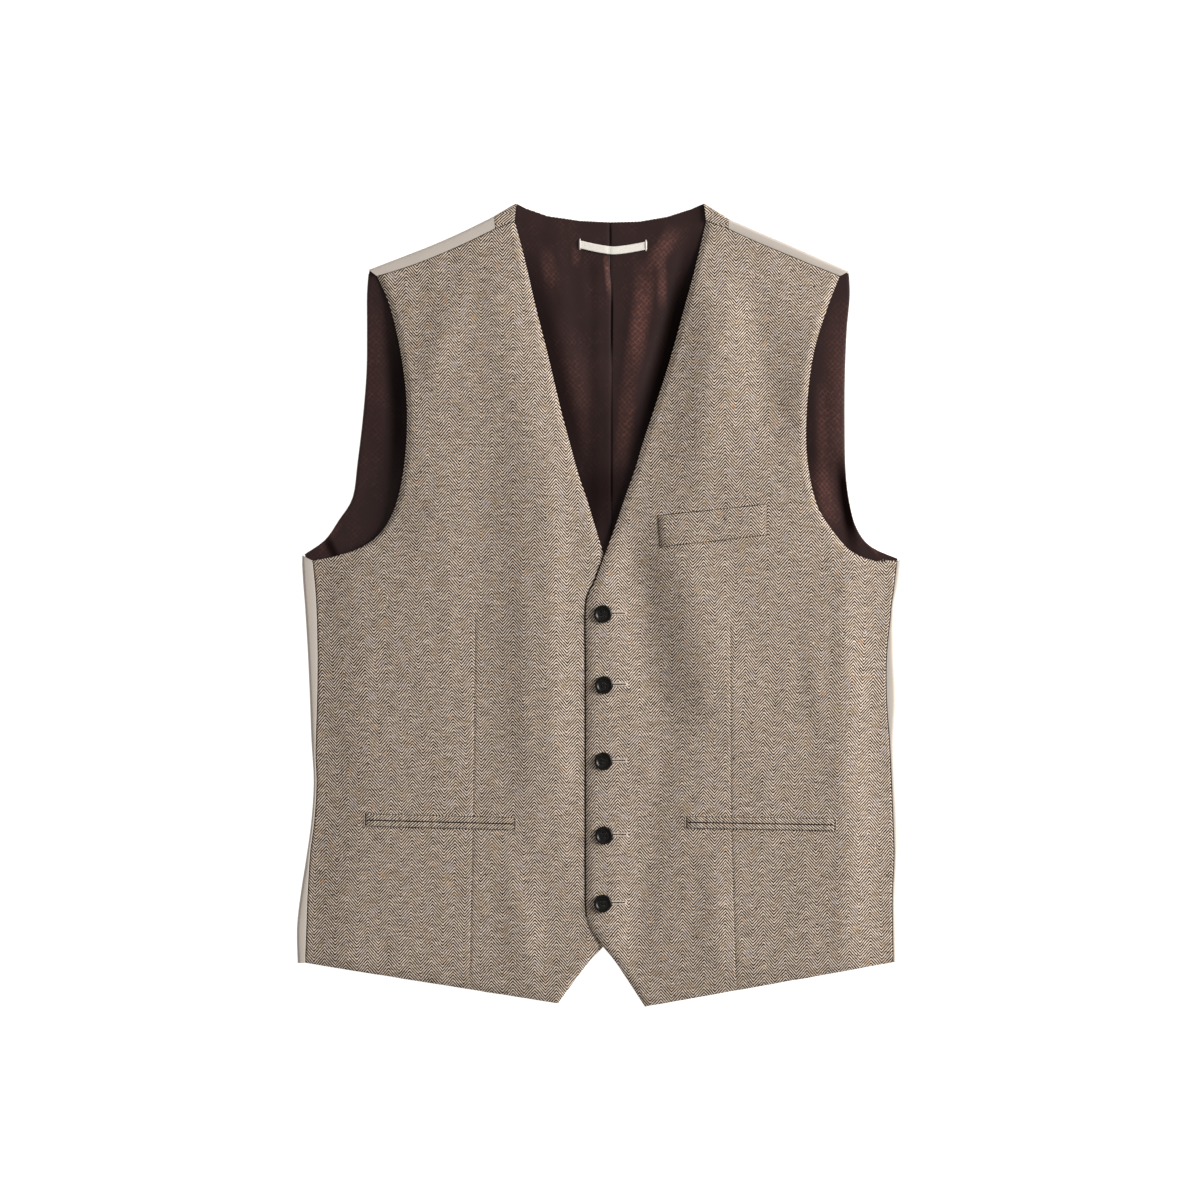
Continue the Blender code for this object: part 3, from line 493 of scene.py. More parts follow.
# Near-black row of painted shade in the lining's seam.
LINING_SEAM_SHADE_STITCHES = Stitches("pocket_inside", "lining", 1.2, 2.6, 0.5, 0.0, 0.02)
STITCH_INPUTS = (
    ("Paths", "Geometry"), ("Spacing", "Float"), ("Stitch Length", "Float"), ("Stitch Width", "Float"),
    ("Turn", "Float"), ("Wander", "Float"), ("Thread", "Material"),
)
STITCH_SEED = 4

# Buttonholes start under the button and end past its edge, in an eye and a bar.
HOLE_START = 3.0
HOLE_END = 19.2
HOLE_OFFSET = 0.6
HOLE_HALF = 1.15
HOLE_LIP_STEPS = 10
HOLE_EYE = 1.3
HOLE_EYE_ANGLE = 130.0
HOLE_EYE_STEPS = 12
HOLE_BAR = 3.4
HOLE_BAR_OFF = 0.4
HOLE_BAR_STEPS = 4
HOLE_RISE = 0.22
SLIT_RISE = 0.2

# Buttons: half the outline as (distance from the axis, height), from the top's middle.
BUTTON_OUTLINE = (
    (0.0, 1.72), (4.3, 1.72), (4.75, 1.86), (5.2, 2.14), (5.65, 2.42), (6.05, 2.62), (6.5, 2.72),
    (7.0, 2.55), (7.4, 2.15), (7.65, 1.6), (7.5, 1.0), (6.8, 0.45), (5.4, 0.0), (0.0, 0.0),
)
BUTTON_FLAT = 1.72
BUTTON_BEVEL = 0.14
BUTTON_EDGE_ANGLE = 50.0
HOLE_RADIUS = 0.95
HOLE_SPACING = 3.3
HOLE_SIDES = 16
CUTTER_DEPTH = 12.0
# The thread over a button: its rise, its dip into the holes and the level share of its run.
THREAD_RISE = 0.12
THREAD_DIP = 0.5
THREAD_SPAN = 0.8

# The room between the lining's halves at their seam, and how much further than the pleat's
# depth the left one is tucked under the right one below it.
LINING_ROOM = 0.1
LINING_TUCK = 0.8
# The near-black row of painted shade in the lining's seam: how far it is sunk, and how far its ends stay
# below the neck's edge and the pleat's opening.
LINING_SEAM_SINK = 0.5
LINING_SEAM_TOP = 1.2
LINING_SEAM_LOW = 3.0
LINING_CORNER_IN = 0.4
PLEAT_PRESS = 0.5
PLEAT_PRESS_REACH = 1.6

# How far the sewn ends of the welt and jets are pressed, as a share of their cloth, and how
# full they are in their middle.
END_PRESS = 0.75
END_PRESS_REACH = 5.0
JET_CROWN = 0.25
WELT_CROWN = 0.15
# How the near-black sheet of painted shade in a pocket's mouth lies between its jets: in from their ends,
# under their edges and sunk.
MOUTH_IN = 0.6
MOUTH_UNDER = 0.5
MOUTH_SINK = 0.1
MOUTH_WALL = 0.3

# Steps of the meshes.
ROW_STEPS = 8
SIDE_COLUMNS = 34
LINING_COLUMNS = 72
LINING_ROWS = 60
BACK_STEPS = 4
WRAP_STEPS = 7
TURN_STEPS = 3
RIM_STEPS = 4
JET_STEPS = (64, 5)
WELT_STEPS = (44, 14)
LOOP_STEPS = (40, 6)
# The last column's distance from an edge, and the share of it that a rounded rim may take.
EDGE_COLUMN = 1.9
INSET_ROOM = 0.7
# The radius of the satin's turned edge, and the share of a narrow strip that it may take.
TURN_RADIUS = 0.5
TURN_SHARE = 0.4
CUT_EDGE_ANGLE = 60.0
MERGE_DISTANCE = 0.02
SLIVER = 0.005

# ---- values of the materials

# Unevenness of the tweed: of its lines, in metres, and of its yarns and tone, as shares.
STRIPE_WANDER = 0.0011
TWILL_WANDER = 0.0009
YARN_UNEVEN = 0.46
WEFT_UNEVEN = 0.66
YARN_EDGE = 0.06
TONE_CLOUDS = 0.14
TONE_STREAKS = 0.30
# Flecks, neps and knots: their yarn, where their noise starts, how it is stretched, its scale
# and detail, between which of its values they begin and are full, and how strong they are.
FLECKS = table(
    Fleck,
    ("rust_fleck", 7.3, 2.9, 1, 135, 1, 0.66, 0.78, 0.40),
    ("tan_fleck", 5.5, 4.4, 1, 85, 2, 0.52, 0.74, 0.34),
    ("mauve_fleck", 1.3, 8.9, 1, 110, 1, 0.58, 0.78, 0.30),
    ("cream", 4.1, 6.2, 1, 430, 1, 0.70, 0.80, 0.75),
    ("brown", 9.4, 0.8, 0.5, 400, 1, 0.70, 0.78, 0.80),
)
# How the weave lies on the band's roll and on the welt.
BAND_TURN = 0.9
WELT_OFFSET = 3.4
WELT_TILT = 0.03

TAPE_RIBS = 9000.0
TAPE_COLOURS = ((0.80, 0.745, 0.66), (0.93, 0.88, 0.80))
# The near-black colours of the painted shade cloth.
PAINTED_SHADOW_COLOURS = ((0.012, 0.009, 0.007), (0.03, 0.022, 0.017))
# Each thread's shade and colour.
THREADS = {
    "tack_thread": ((0.62, 0.58, 0.52), (0.84, 0.81, 0.76)),
    "seam_thread": ((0.018, 0.011, 0.007), (0.045, 0.028, 0.017)),
    "catch_thread": ((0.50, 0.37, 0.29), (0.66, 0.51, 0.42)),
    "buttonhole_thread": ((0.68, 0.55, 0.45), (0.90, 0.77, 0.67)),
    "button_thread": ((0.008, 0.007, 0.006), (0.020, 0.017, 0.014)),
}
WHITE = (1.0, 1.0, 1.0)

# The stage's places and sizes, in metres; the middle of the view and the camera's sensor are
# in millimetres.
FLOOR_SIZE = 14.0
FLOOR_DROP = 0.0004
FLOOR_GLOW = 0.88
FLOOR_MOTTLE = 0.985
KEY_PLACE = (3.35, 0.95, 1.80)
KEY_SIZE = 2.2
FILL_PLACE = (-0.3, 0.5, 2.6)
FILL_SIZE = 2.2
SENSOR_WIDTH = 36.0
VIEW_CENTRE = (1.3, 3.8)
CLIP_END = 100.0


# ---- small helpers

def lerp(a, b, t):
    return a + (b - a) * t


def spaced(a, b, steps):
    """Values from a to b, evenly apart."""
    return [lerp(a, b, i / steps) for i in range(steps + 1)]


def line_of(start, end, steps):
    """Points from start to end, evenly apart."""
    return list(zip(spaced(start[0], end[0], steps), spaced(start[1], end[1], steps)))


def shift(point, dx, dy):
    return (point[0] + dx, point[1] + dy)


def ease(t):
    """0 below t = 0, 1 above t = 1, and a soft step between them."""
    t = min(max(t, 0.0), 1.0)
    return t * t * (3.0 - 2.0 * t)


def smooth_rows(rows, steps):
    """A smooth curve through a table's rows, with this many steps from each row to the next."""
    result = []
    last = len(rows) - 1
    for i in range(last):
        near = [rows[min(max(k, 0), last)][1:] for k in range(i - 1, i + 3)]
        for step in range(steps):
            t = step / steps
            values = []
            for a, b, c, d in zip(*near):
                curve = (c - a) + t * ((2 * a - 5 * b + 4 * c - d) + t * (3 * b - a - 3 * c + d))
                values.append(b + 0.5 * t * curve)
            result.append(type(rows[i])(rows[i].name, *values))
    return result + [rows[last]]


def run_of(points):
    """The length of a polyline."""
    return sum(math.dist(a, b) for a, b in zip(points, points[1:]))


def along(points, t):
    """The point at a fraction of a polyline's length."""
    lengths = [math.dist(a, b) for a, b in zip(points, points[1:])]
    left = t * sum(lengths)
    for a, b, length in zip(points, points[1:], lengths):
        if left <= length:
            return (lerp(a[0], b[0], left / length), lerp(a[1], b[1], left / length))
        left -= length
    return points[-1]


def fold_height(folds, x, y):
    """The summed height of every fold of a table at a point."""
    total = 0.0
    for fold in folds:
        dx, dy = fold.x1 - fold.x0, fold.y1 - fold.y0
        length = math.hypot(dx, dy)
        across = ((x - fold.x0) * dy - (y - fold.y0) * dx) / length
        if abs(across) > FOLD_CUTOFF * fold.reach:
            continue
        run = ((x - fold.x0) * dx + (y - fold.y0) * dy) / length
        fade = FOLD_FADE * length
        ends = ease((run + fade) / (2 * fade)) * ease((length + fade - run) / (2 * fade))
        total += fold.height * math.exp(-(across / fold.reach) ** 2) * ends
    return total


def ripple(x, y, length, seed):
    """Soft uneven waves, from -1 to 1."""
    return noise.noise(Vector((x / length, y / length, seed)))


class Panel:
    """A flat panel between an outer and an inner edge, its last row bent to the top line."""

    def __init__(self, outer, inner, top):
        self.outer, self.inner, self.top = outer, inner, top
        lengths = [0.0]
        for i in range(1, len(outer)):
            step = 0.5 * (math.dist(outer[i - 1], outer[i]) + math.dist(inner[i - 1], inner[i]))
            lengths.append(lengths[-1] + step)
        self.shares = [length / lengths[-1] for length in lengths]

    def width(self, row):
        return math.dist(self.outer[row], self.inner[row])

    def point(self, row, u):
        a, b, share = self.outer[row], self.inner[row], self.shares[row]
        top = self.top(u)
        bend_x = top[0] - lerp(self.outer[-1][0], self.inner[-1][0], u)
        bend_y = top[1] - lerp(self.outer[-1][1], self.inner[-1][1], u)
        return (lerp(a[0], b[0], u) + bend_x * share, lerp(a[1], b[1], u) + bend_y * share)


# ---- meshes

def linked(item):
    bpy.context.scene.collection.objects.link(item)
    return item


def new_object(name, mesh, material, node=None):
    """A finished piece that rides on the garment, in place of a node of the solids if it has one."""
    mesh.materials.clear()
    mesh.materials.append(material_of(material))
    item = linked(bpy.data.objects.new(name, mesh))
    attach(item, BODY)
    if node:
        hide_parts(node)
    return item


def finished(blank):
    """The mesh that an object's modifiers make; the object itself goes."""
    depsgraph = bpy.context.evaluated_depsgraph_get()
    mesh = bpy.data.meshes.new_from_object(blank.evaluated_get(depsgraph))
    bpy.data.objects.remove(blank, do_unlink=True)
    return mesh


def grid_normals(points):
    rows, columns = len(points), len(points[0])
    normals = []
    for i in range(rows):
        line = []
        for j in range(columns):
            across = points[i][min(j + 1, columns - 1)] - points[i][max(j - 1, 0)]
            up = points[min(i + 1, rows - 1)][j] - points[max(i - 1, 0)][j]
            normal = across.cross(up)
            if normal.z < 0:
                normal.negate()
            line.append(normal.normalized())
        normals.append(line)
    return normals


def border_of(rows, columns):
    """Grid places round the border, counter-clockwise in rows and columns."""
    places = [(0, j) for j in range(columns)]
    places += [(i, columns - 1) for i in range(1, rows)]
    places += [(rows - 1, j) for j in range(columns - 2, -1, -1)]
    places += [(i, 0) for i in range(rows - 2, 0, -1)]
    return places


def shell_mesh(name, points, walls, uv_at):
    """A sheet of cloth with rounded edges, from a grid of points on its upper face.

    walls is one number, or a table with the wall at each point. uv_at(x, y, face_column)
    gives the place on the cloth.
    """
    rows, columns = len(points), len(points[0])
    if isinstance(walls, float):
        walls = [[walls] * columns] * rows
    normals = grid_normals(points)
    border = border_of(rows, columns)
    top = [list(line) for line in points]
    outward = {}
    for k, (i, j) in enumerate(border):
        before, after = border[k - 1], border[(k + 1) % len(border)]
        along_edge = points[after[0]][after[1]] - points[before[0]][before[1]]
        out = along_edge.cross(normals[i][j]).normalized()
        inside = points[min(max(i, 1), rows - 2)][min(max(j, 1), columns - 2)]
        if out.dot(inside - points[i][j]) > 0:
            out.negate()
        outward[(i, j)] = out
        room = INSET_ROOM * abs(out.dot(inside - points[i][j]))
        top[i][j] = points[i][j] - out * min(0.5 * walls[i][j], room)
    verts, faces, uvs = [], [], []
    upper, lower, rim = {}, {}, {}
    for i in range(rows):
        for j in range(columns):
            upper[(i, j)] = len(verts)
            verts.append(top[i][j])
            lower[(i, j)] = len(verts)
            verts.append(top[i][j] - normals[i][j] * walls[i][j])
    for i, j in border:
        place = (i, j)
        radius = 0.5 * walls[i][j]
        centre = top[i][j] - normals[i][j] * radius
        ring = []
        for step in range(1, RIM_STEPS):
            angle = math.pi * step / RIM_STEPS
            ring.append(len(verts))
            way = normals[i][j] * math.cos(angle) + outward[place] * math.sin(angle)
            verts.append(centre + way * radius)
        rim[place] = [upper[place]] + ring + [lower[place]]
    for i in range(rows - 1):
        for j in range(columns - 1):
            corners = ((i, j), (i, j + 1), (i + 1, j + 1), (i + 1, j))
            places = [uv_at(top[a][b].x, top[a][b].y, j) for a, b in corners]
            faces.append([upper[corner] for corner in corners])
            uvs += places
            faces.append([lower[corner] for corner in reversed(corners)])
            uvs += reversed(places)
    for k, place in enumerate(border):
        after = border[(k + 1) % len(border)]
        column = min(place[1], after[1], columns - 2)
        for step in range(RIM_STEPS):
            corners = ((place, step), (place, step + 1), (after, step + 1), (after, step))
            faces.append([rim[spot][at] for spot, at in corners])
            for spot, at in corners:
                reach = 0.5 * walls[spot[0]][spot[1]] * math.pi * at / RIM_STEPS
                base, out = top[spot[0]][spot[1]], outward[spot]
                uvs.append(uv_at(base.x + out.x * reach, base.y + out.y * reach, column))
    mesh = bpy.data.meshes.new(name)
    mesh.from_pydata([vert * MM for vert in verts], [], faces)
    layer = mesh.uv_layers.new(name=UV_NAME)
    for loop, (u, v) in zip(layer.data, uvs):
        loop.uv = (u * MM, v * MM)
    bm = bmesh.new()
    bm.from_mesh(mesh)
    bmesh.ops.recalc_face_normals(bm, faces=bm.faces)
    bm.to_mesh(mesh)
    bm.free()
    mesh.shade_smooth()
    return mesh


def rolled_mesh(name, grids, wall, uv_at):
    """One wall of cloth from grids that share edges, its outer face on their points."""
    bm = bmesh.new()
    for grid in grids:
        rows = [[bm.verts.new(Vector(point) * MM) for point in row] for row in grid]
        for a, b in zip(rows, rows[1:]):
            for i in range(len(a) - 1):
                bm.faces.new((a[i], a[i + 1], b[i + 1], b[i]))
    bmesh.ops.remove_doubles(bm, verts=bm.verts, dist=MERGE_DISTANCE * MM)
    bmesh.ops.dissolve_degenerate(bm, dist=SLIVER * MM, edges=bm.edges)
    bmesh.ops.recalc_face_normals(bm, faces=bm.faces)
    bm.faces.ensure_lookup_table()
    if bm.faces[0].normal.z > 0:
        bmesh.ops.reverse_faces(bm, faces=bm.faces)
    layer = bm.loops.layers.uv.new(UV_NAME)
    for face in bm.faces:
        for loop in face.loops:
            loop[layer].uv = uv_at(loop.vert.co)
    mesh = bpy.data.meshes.new(name)
    bm.to_mesh(mesh)
    bm.free()
    mesh.shade_smooth()
    blank = linked(bpy.data.objects.new(name + "_blank", mesh))
    solid = blank.modifiers.new("Wall", "SOLIDIFY")
    solid.thickness = wall * MM
    solid.offset = -1.0
    solid.use_quality_normals = True
    result = finished(blank)
    result.set_sharp_from_angle(angle=math.radians(CUT_EDGE_ANGLE))
    return result


def surface_of(*names):
    """A function that gives the height of the finished pieces' tops at a place."""
    trees = []
    for name in names:
        mesh = bpy.data.objects[name].data
        points = [vertex.co for vertex in mesh.vertices]
        trees.append(BVHTree.FromPolygons(points, [tuple(face.vertices) for face in mesh.polygons]))

    def height(x, y):
        heights = []
        for tree in trees:
            hit = tree.ray_cast(Vector((x * MM, y * MM, 1.0)), Vector((0.0, 0.0, -1.0)))[0]
            if hit is not None:
                heights.append(hit.z / MM)
        return max(heights) if heights else 0.0

    return height


# ---- form of the panels

def side_rows(side, steps):
    """The rows from hem to underarm, with a rolled strip that is nowhere too narrow."""
    rows = []
    for row in smooth_rows(side.sections, steps):
        strip = max(abs(row.fold_x - row.seam_x), MIN_STRIP)
        rows.append(row._replace(seam_x=row.fold_x - side.sign * strip))
    return rows


def fold_x_at(side, y):
    """The rolled outer edge of one side, at a height between hem and underarm."""
    rows = side_rows(side, BACK_STEPS)
    for a, b in zip(rows, rows[1:]):
        if y <= b.seam_y:
            return lerp(a.fold_x, b.fold_x, max(y - a.seam_y, 0.0) / (b.seam_y - a.seam_y))
    return rows[-1].fold_x


def back_hem_y(x):
    """The back's hem rises softly from the side corners to the centre."""
    return lerp(CENTRE_HEM_Y, SIDE_HEM_Y, ease(abs(x - CENTRE_X) / BACK_HALF_WIDTH))


def dart_x(dart, y):
    """The dart's line: it leans a little between its top, the pocket and the hem."""
    middle_y = 0.5 * (JETS[0].y0 + JETS[0].y1)
    if y > middle_y:
        return lerp(dart.middle_x, dart.top_x, min((y - middle_y) / (dart.top_y - middle_y), 1.0))
    return lerp(dart.middle_x, dart.low_x, min((middle_y - y) / (middle_y - dart.low_y), 1.0))


def dart_share(dart, y):
    """How much of the dart is taken in at a height: nothing at its top, most at the waist."""
    easing = DART_EASING * ease((DART_EASING_Y - y) / DART_EASING_RUN)
    return ease((dart.top_y - y) / DART_RUN) * (1.0 - easing)


def front_height(side, x, y, u, fold_x, shoulder_drop):
    """Height of a front's outer face."""
    underarm_y = side.sections[-1].seam_y
    crown = math.sin(math.pi * u / CROWN_WIDTH) ** CROWN_POWER if 0.0 < u < CROWN_WIDTH else 0.0
    crown *= lerp(1.0, HEM_CROWN, ease((HEM_CROWN_Y - y) / HEM_CROWN_RUN))
    chest = ease((y - CHEST_Y) / CHEST_RUN)
    crown = lerp(crown, ease((1.0 - u) / CHEST_SLOPE), chest)
    z = FRONT_TOP + FRONT_EASE + FRONT_CROWN * crown
    z += fold_height(FRONT_FOLDS, x, y) + fold_height(FRONT_CREASES, x, y)
    z += CHEST_RISE * chest
    placket = 1.0 - ease((y - OVERLAP_Y) / OVERLAP_RUN)
    if side.sign < 0:
        z -= UNDERLAP_DROP * ease((x - UNDERLAP_X) / UNDERLAP_REACH) * placket
    roll = abs(x - fold_x)
    near_side = (1.0 - ease(roll / SIDE_ROLL)) * (1.0 - ease((y - underarm_y) / SIDE_ROLL_END))
    z = lerp(z, FOLD_TOP, near_side)
    z = lerp(z, FOLD_TOP, 1.0 - ease(shoulder_drop / SHOULDER_ROLL))
    lapped = placket * (1.0 - ease(abs(x - OVERLAP_X) / OVERLAP_REACH))
    wrinkle = WRINKLE_HEIGHT * (1.0 - LAP_SMOOTHING * lapped)
    z += wrinkle * ripple(x, WRINKLE_STRETCH * y, WRINKLE_LENGTH, side.sign)
    pucker = PUCKER_HEIGHT * math.exp(-roll / PUCKER_REACH) * (1.0 - ease((y - underarm_y) / PUCKER_FADE))
    z += pucker * ripple(PUCKER_STRETCH * x, y, PUCKER_LENGTH, PUCKER_SEED)
    groove = math.exp(-((x - dart_x(side.dart, y)) / DART_WIDTH) ** 2)
    z -= DART_DEPTH * groove * ease((side.dart.top_y - y) / DART_START)
    lift = 0.0
    if side.sign > 0:
        lift = OVERLAP_LIFT * (1.0 - ease((x - OVERLAP_X) / OVERLAP_REACH)) * placket
    droop = ease((back_hem_y(x) - y) / HEM_DROOP)
    return lerp(z, HEM_REST + TWEED_WALL, droop) + lift


def front_panel(side):
    """The flat outline of a front, and the rolled side's place beside each row."""
    lower = side_rows(side, ROW_STEPS)
    upper = smooth_rows(side.armhole, ROW_STEPS)[1:]
    outer = [(row.seam_x, row.seam_y) for row in lower] + [(row.front_x, row.front_y) for row in upper]
    inner = [(row.edge_x, row.edge_y) for row in lower + upper]
    folds = [row.fold_x for row in lower] + [lower[-1].fold_x] * len(upper)
    seam = [(row.seam_x, row.seam_y) for row in side.shoulder]
    return Panel(outer, inner, lambda u: along(seam, u)), folds


def front_columns(side, panel, row):
    """Where the columns lie in a row: closer at the edges and at the dart."""
    dart, width = side.dart, panel.width(row)
    a, b = panel.outer[row], panel.inner[row]
    share = dart.start_u
    # A few rounds find the dart's place in a row that slants.
    for _ in range(3):
        y = lerp(a[1], b[1], share)
        share = (dart_x(dart, y) - a[0]) / (b[0] - a[0])
    share = lerp(share, dart.start_u, ease((y - dart.top_y) / DART_BLEND))
    marks = [share + offset / width for offset in DART_COLUMNS]
    edge = EDGE_COLUMN / width
    outer = [0.0] + spaced(edge, marks[0], SIDE_COLUMNS)[:-1]
    return outer + marks + spaced(marks[-1], 1.0 - edge, SIDE_COLUMNS)[1:] + [1.0]


def front_points(side):
    panel, folds = front_panel(side)
    points = []
    for row, fold_x in enumerate(folds):
        line = []
        for u in front_columns(side, panel, row):
            x, y = panel.point(row, u)
            top_y = panel.top(u)[1]
            z = front_height(side, x, y, u, fold_x, top_y - y)
            hem = 1.0 - ease(row / EDGE_WAVE_ROWS)
            y += EDGE_WAVE * hem * ripple(x, 0.0, EDGE_WAVE_LENGTH, EDGE_WAVE_SEED)
            line.append(Vector((x, y, z)))
        points.append(line)
    return points


def press(points, presses, wall):
    """Presses a sheet of cloth down at its points, and gives the wall that is left at each."""
    for line, row in zip(points, presses):
        for point, amount in zip(line, row):
            point.z -= amount
    return [[wall - amount for amount in row] for row in presses]


def press_edges(points, underarm):
    """Presses a front's open edges thin, at the armhole from the underarm's row on."""
    presses = []
    for i, line in enumerate(points):
        armhole = ease((i - underarm) / EDGE_PRESS_ROWS)
        row = []
        for point, hem in zip(line, points[0]):
            open_edge = min((line[-1] - point).length, (hem - point).length)
            amount = 1.0 - ease(open_edge / EDGE_PRESS_REACH)
            amount = max(amount, armhole * (1.0 - ease((line[0] - point).length / EDGE_PRESS_REACH)))
            row.append(EDGE_PRESS * amount)
        presses.append(row)
    return press(points, presses, TWEED_WALL)


def front_weave(side):
    """The place on the cloth: straight down the front, taken in beside the dart."""
    dart_column = 1 + SIDE_COLUMNS + len(DART_COLUMNS) // 2

    def place(x, y, column):
        u = x + side.weave_x + DRIFT_ACROSS[0] * ripple(x, y, *DRIFT_ACROSS[1:])
        if column < dart_column:
            u += side.sign * DART_INTAKE * dart_share(side.dart, y)
        return (u, y + side.weave_y + DRIFT_ALONG[0] * ripple(x, y, *DRIFT_ALONG[1:]))

    return place


def wrap_profile(width):
    """(distance in from the rolled edge, height) from the flat back to the turned seam."""
    turn = min(TURN_RADIUS, TURN_SHARE * width)
    top_reach = min(FOLD_RADIUS, TOP_REACH * (width - turn))
    points = []
    for i in range(2 * WRAP_STEPS + 1):
        angle = 0.5 * math.pi * (i / WRAP_STEPS - 1.0)
        reach = FOLD_RADIUS if i < WRAP_STEPS else top_reach
        points.append((reach * (1.0 - math.cos(angle)), FOLD_RADIUS * (1.0 + math.sin(angle))))
    for i in range(TURN_STEPS + 1):
        angle = 0.5 * math.pi * i / TURN_STEPS
        points.append((width - turn * (1.0 - math.sin(angle)), FOLD_TOP - turn * (1.0 - math.cos(angle))))
    return points


def wrap(edge, seam):
    """The rolled strip's points from the back's flat edge, over the fold, to its seam."""
    width = math.dist(edge, seam)
    inward = ((seam[0] - edge[0]) / width, (seam[1] - edge[1]) / width)
    return [(edge[0] + inward[0] * d, edge[1] + inward[1] * d, z) for d, z in wrap_profile(width - SEAM_GAP)]


def shoulder_rolls(rows, last_shift=0.0):
    """The rolled strip over the shoulder, along rows of its table; the last one is shifted a little."""
    rows = smooth_rows(rows, BACK_STEPS)
    rows[-1] = rows[-1]._replace(fold_x=rows[-1].fold_x + last_shift, seam_x=rows[-1].seam_x + last_shift)
    return [wrap((row.fold_x, row.fold_y), (row.seam_x, row.seam_y)) for row in rows]


def neck_seam(side):
    """The satin's edge under the neck band, from the shoulder to the centre line."""
    rows = [row for row in NECK if (row.seam_x - CENTRE_X) * side.sign > 0]
    if side.sign > 0:
        rows = rows[::-1]
    points = [(row.seam_x, row.seam_y - SEAM_GAP) for row in rows]
    return points + [(CENTRE_X + side.sign * 0.5 * SEAM_GAP, NECK_SEAM_Y - SEAM_GAP)]


def back_grids(side):
    """Half of the satin back: flat below, rolled up at the side and over the shoulder."""
    half_gap = 0.5 * SEAM_GAP * side.sign
    centre_x = CENTRE_X + half_gap
    lower = side_rows(side, BACK_STEPS)
    under, *upper = smooth_rows(side.armhole, BACK_STEPS)
    wraps = [wrap((row.fold_x, row.seam_y), (row.seam_x, row.seam_y)) for row in lower[:-1]]
    wraps.append(wrap((under.back_x, under.back_y), (lower[-1].seam_x, lower[-1].seam_y)))
    rolls = shoulder_rolls(side.shoulder[:BAND_ROW + 1], half_gap)
    outer = [points[0][:2] for points in wraps] + [(row.back_x, row.back_y) for row in upper[:-1]]
    outer.append(rolls[0][0][:2])
    top = [points[0][:2] for points in rolls] + neck_seam(side)
    inner = []
    for row in lower:
        share = (row.seam_y - lower[0].seam_y) / (lower[-1].seam_y - lower[0].seam_y)
        inner.append((centre_x, lerp(CENTRE_HEM_Y, under.centre_y, share)))
    inner += [(centre_x, row.centre_y) for row in upper]
    span = centre_x - top[0][0]
    columns = [(point[0] - top[0][0]) / span for point in top]
    panel = Panel(outer, inner, lambda u: top[columns.index(u)])
    flat = [[panel.point(row, u) + (0.0,) for u in columns] for row in range(len(outer))]
    return [flat, wraps, rolls]


def neck_band_grids():
    """Tweed band round the back of the neck, rolled over both shoulders to the fronts."""
    right, left = [shoulder_rolls(side.shoulder[:BAND_ROW - 1:-1], -0.5 * SEAM_GAP * side.sign)
                   for side in SIDES]
    rows = [[points[0] for points in right]]
    for row in NECK:
        rows.append([(x, y, 0.0) for x, y in line_of(row[1:3], row[3:5], BACK_STEPS)])
    rows.append([points[0] for points in left])
    return [rows, right, left]


def pleat_openness(y):
    return ease((PLEAT_OPEN_Y - y) / (PLEAT_OPEN_Y - PLEAT_FULL_Y))


def vee_mask(x, y):
    """1 inside the open neck, 0 under the fronts."""
    inside = ease((y - VEE_POINT_Y) / VEE_POINT_FADE)
    for side in SIDES:
        low, high = side.armhole[0], side.armhole[-1]
        edge_x = lerp(low.edge_x, high.edge_x, (y - low.edge_y) / (high.edge_y - low.edge_y))
        inside *= ease(((edge_x - x) * side.sign - VEE_INSET) / VEE_FADE)
    return inside


def lining_height(side, x, y):
    """Height of the lining's upper face."""
    inside = vee_mask(x, y)
    wrinkle = LINING_WRINKLE_HEIGHT * ripple(x, y, LINING_WRINKLE_LENGTH, LINING_WRINKLE_SEED)
    folds = (fold_height(NECK_FOLDS, x, y) + wrinkle) * inside + fold_height(ARM_FOLDS, x, y)
    lift = 0.0
    if side.sign < 0:
        lift = PLEAT_LIFT * ease((x - CENTRE_X + PLEAT_RAMP_X) / PLEAT_RAMP)
        lift *= ease((PLEAT_START_Y - y) / (PLEAT_START_Y - PLEAT_OPEN_Y))
    return LINING_TOP + max(folds, 0.0) + lift


def lining_centre(side, y):
    """The lining halves meet at the seam, and below it one folds over the other."""
    opened = pleat_openness(y)
    fold_line = CENTRE_X + PLEAT_LEAN * opened
    if side.sign < 0:
        return fold_line
    return fold_line + LINING_ROOM - (PLEAT_DEPTH + LINING_TUCK) * opened


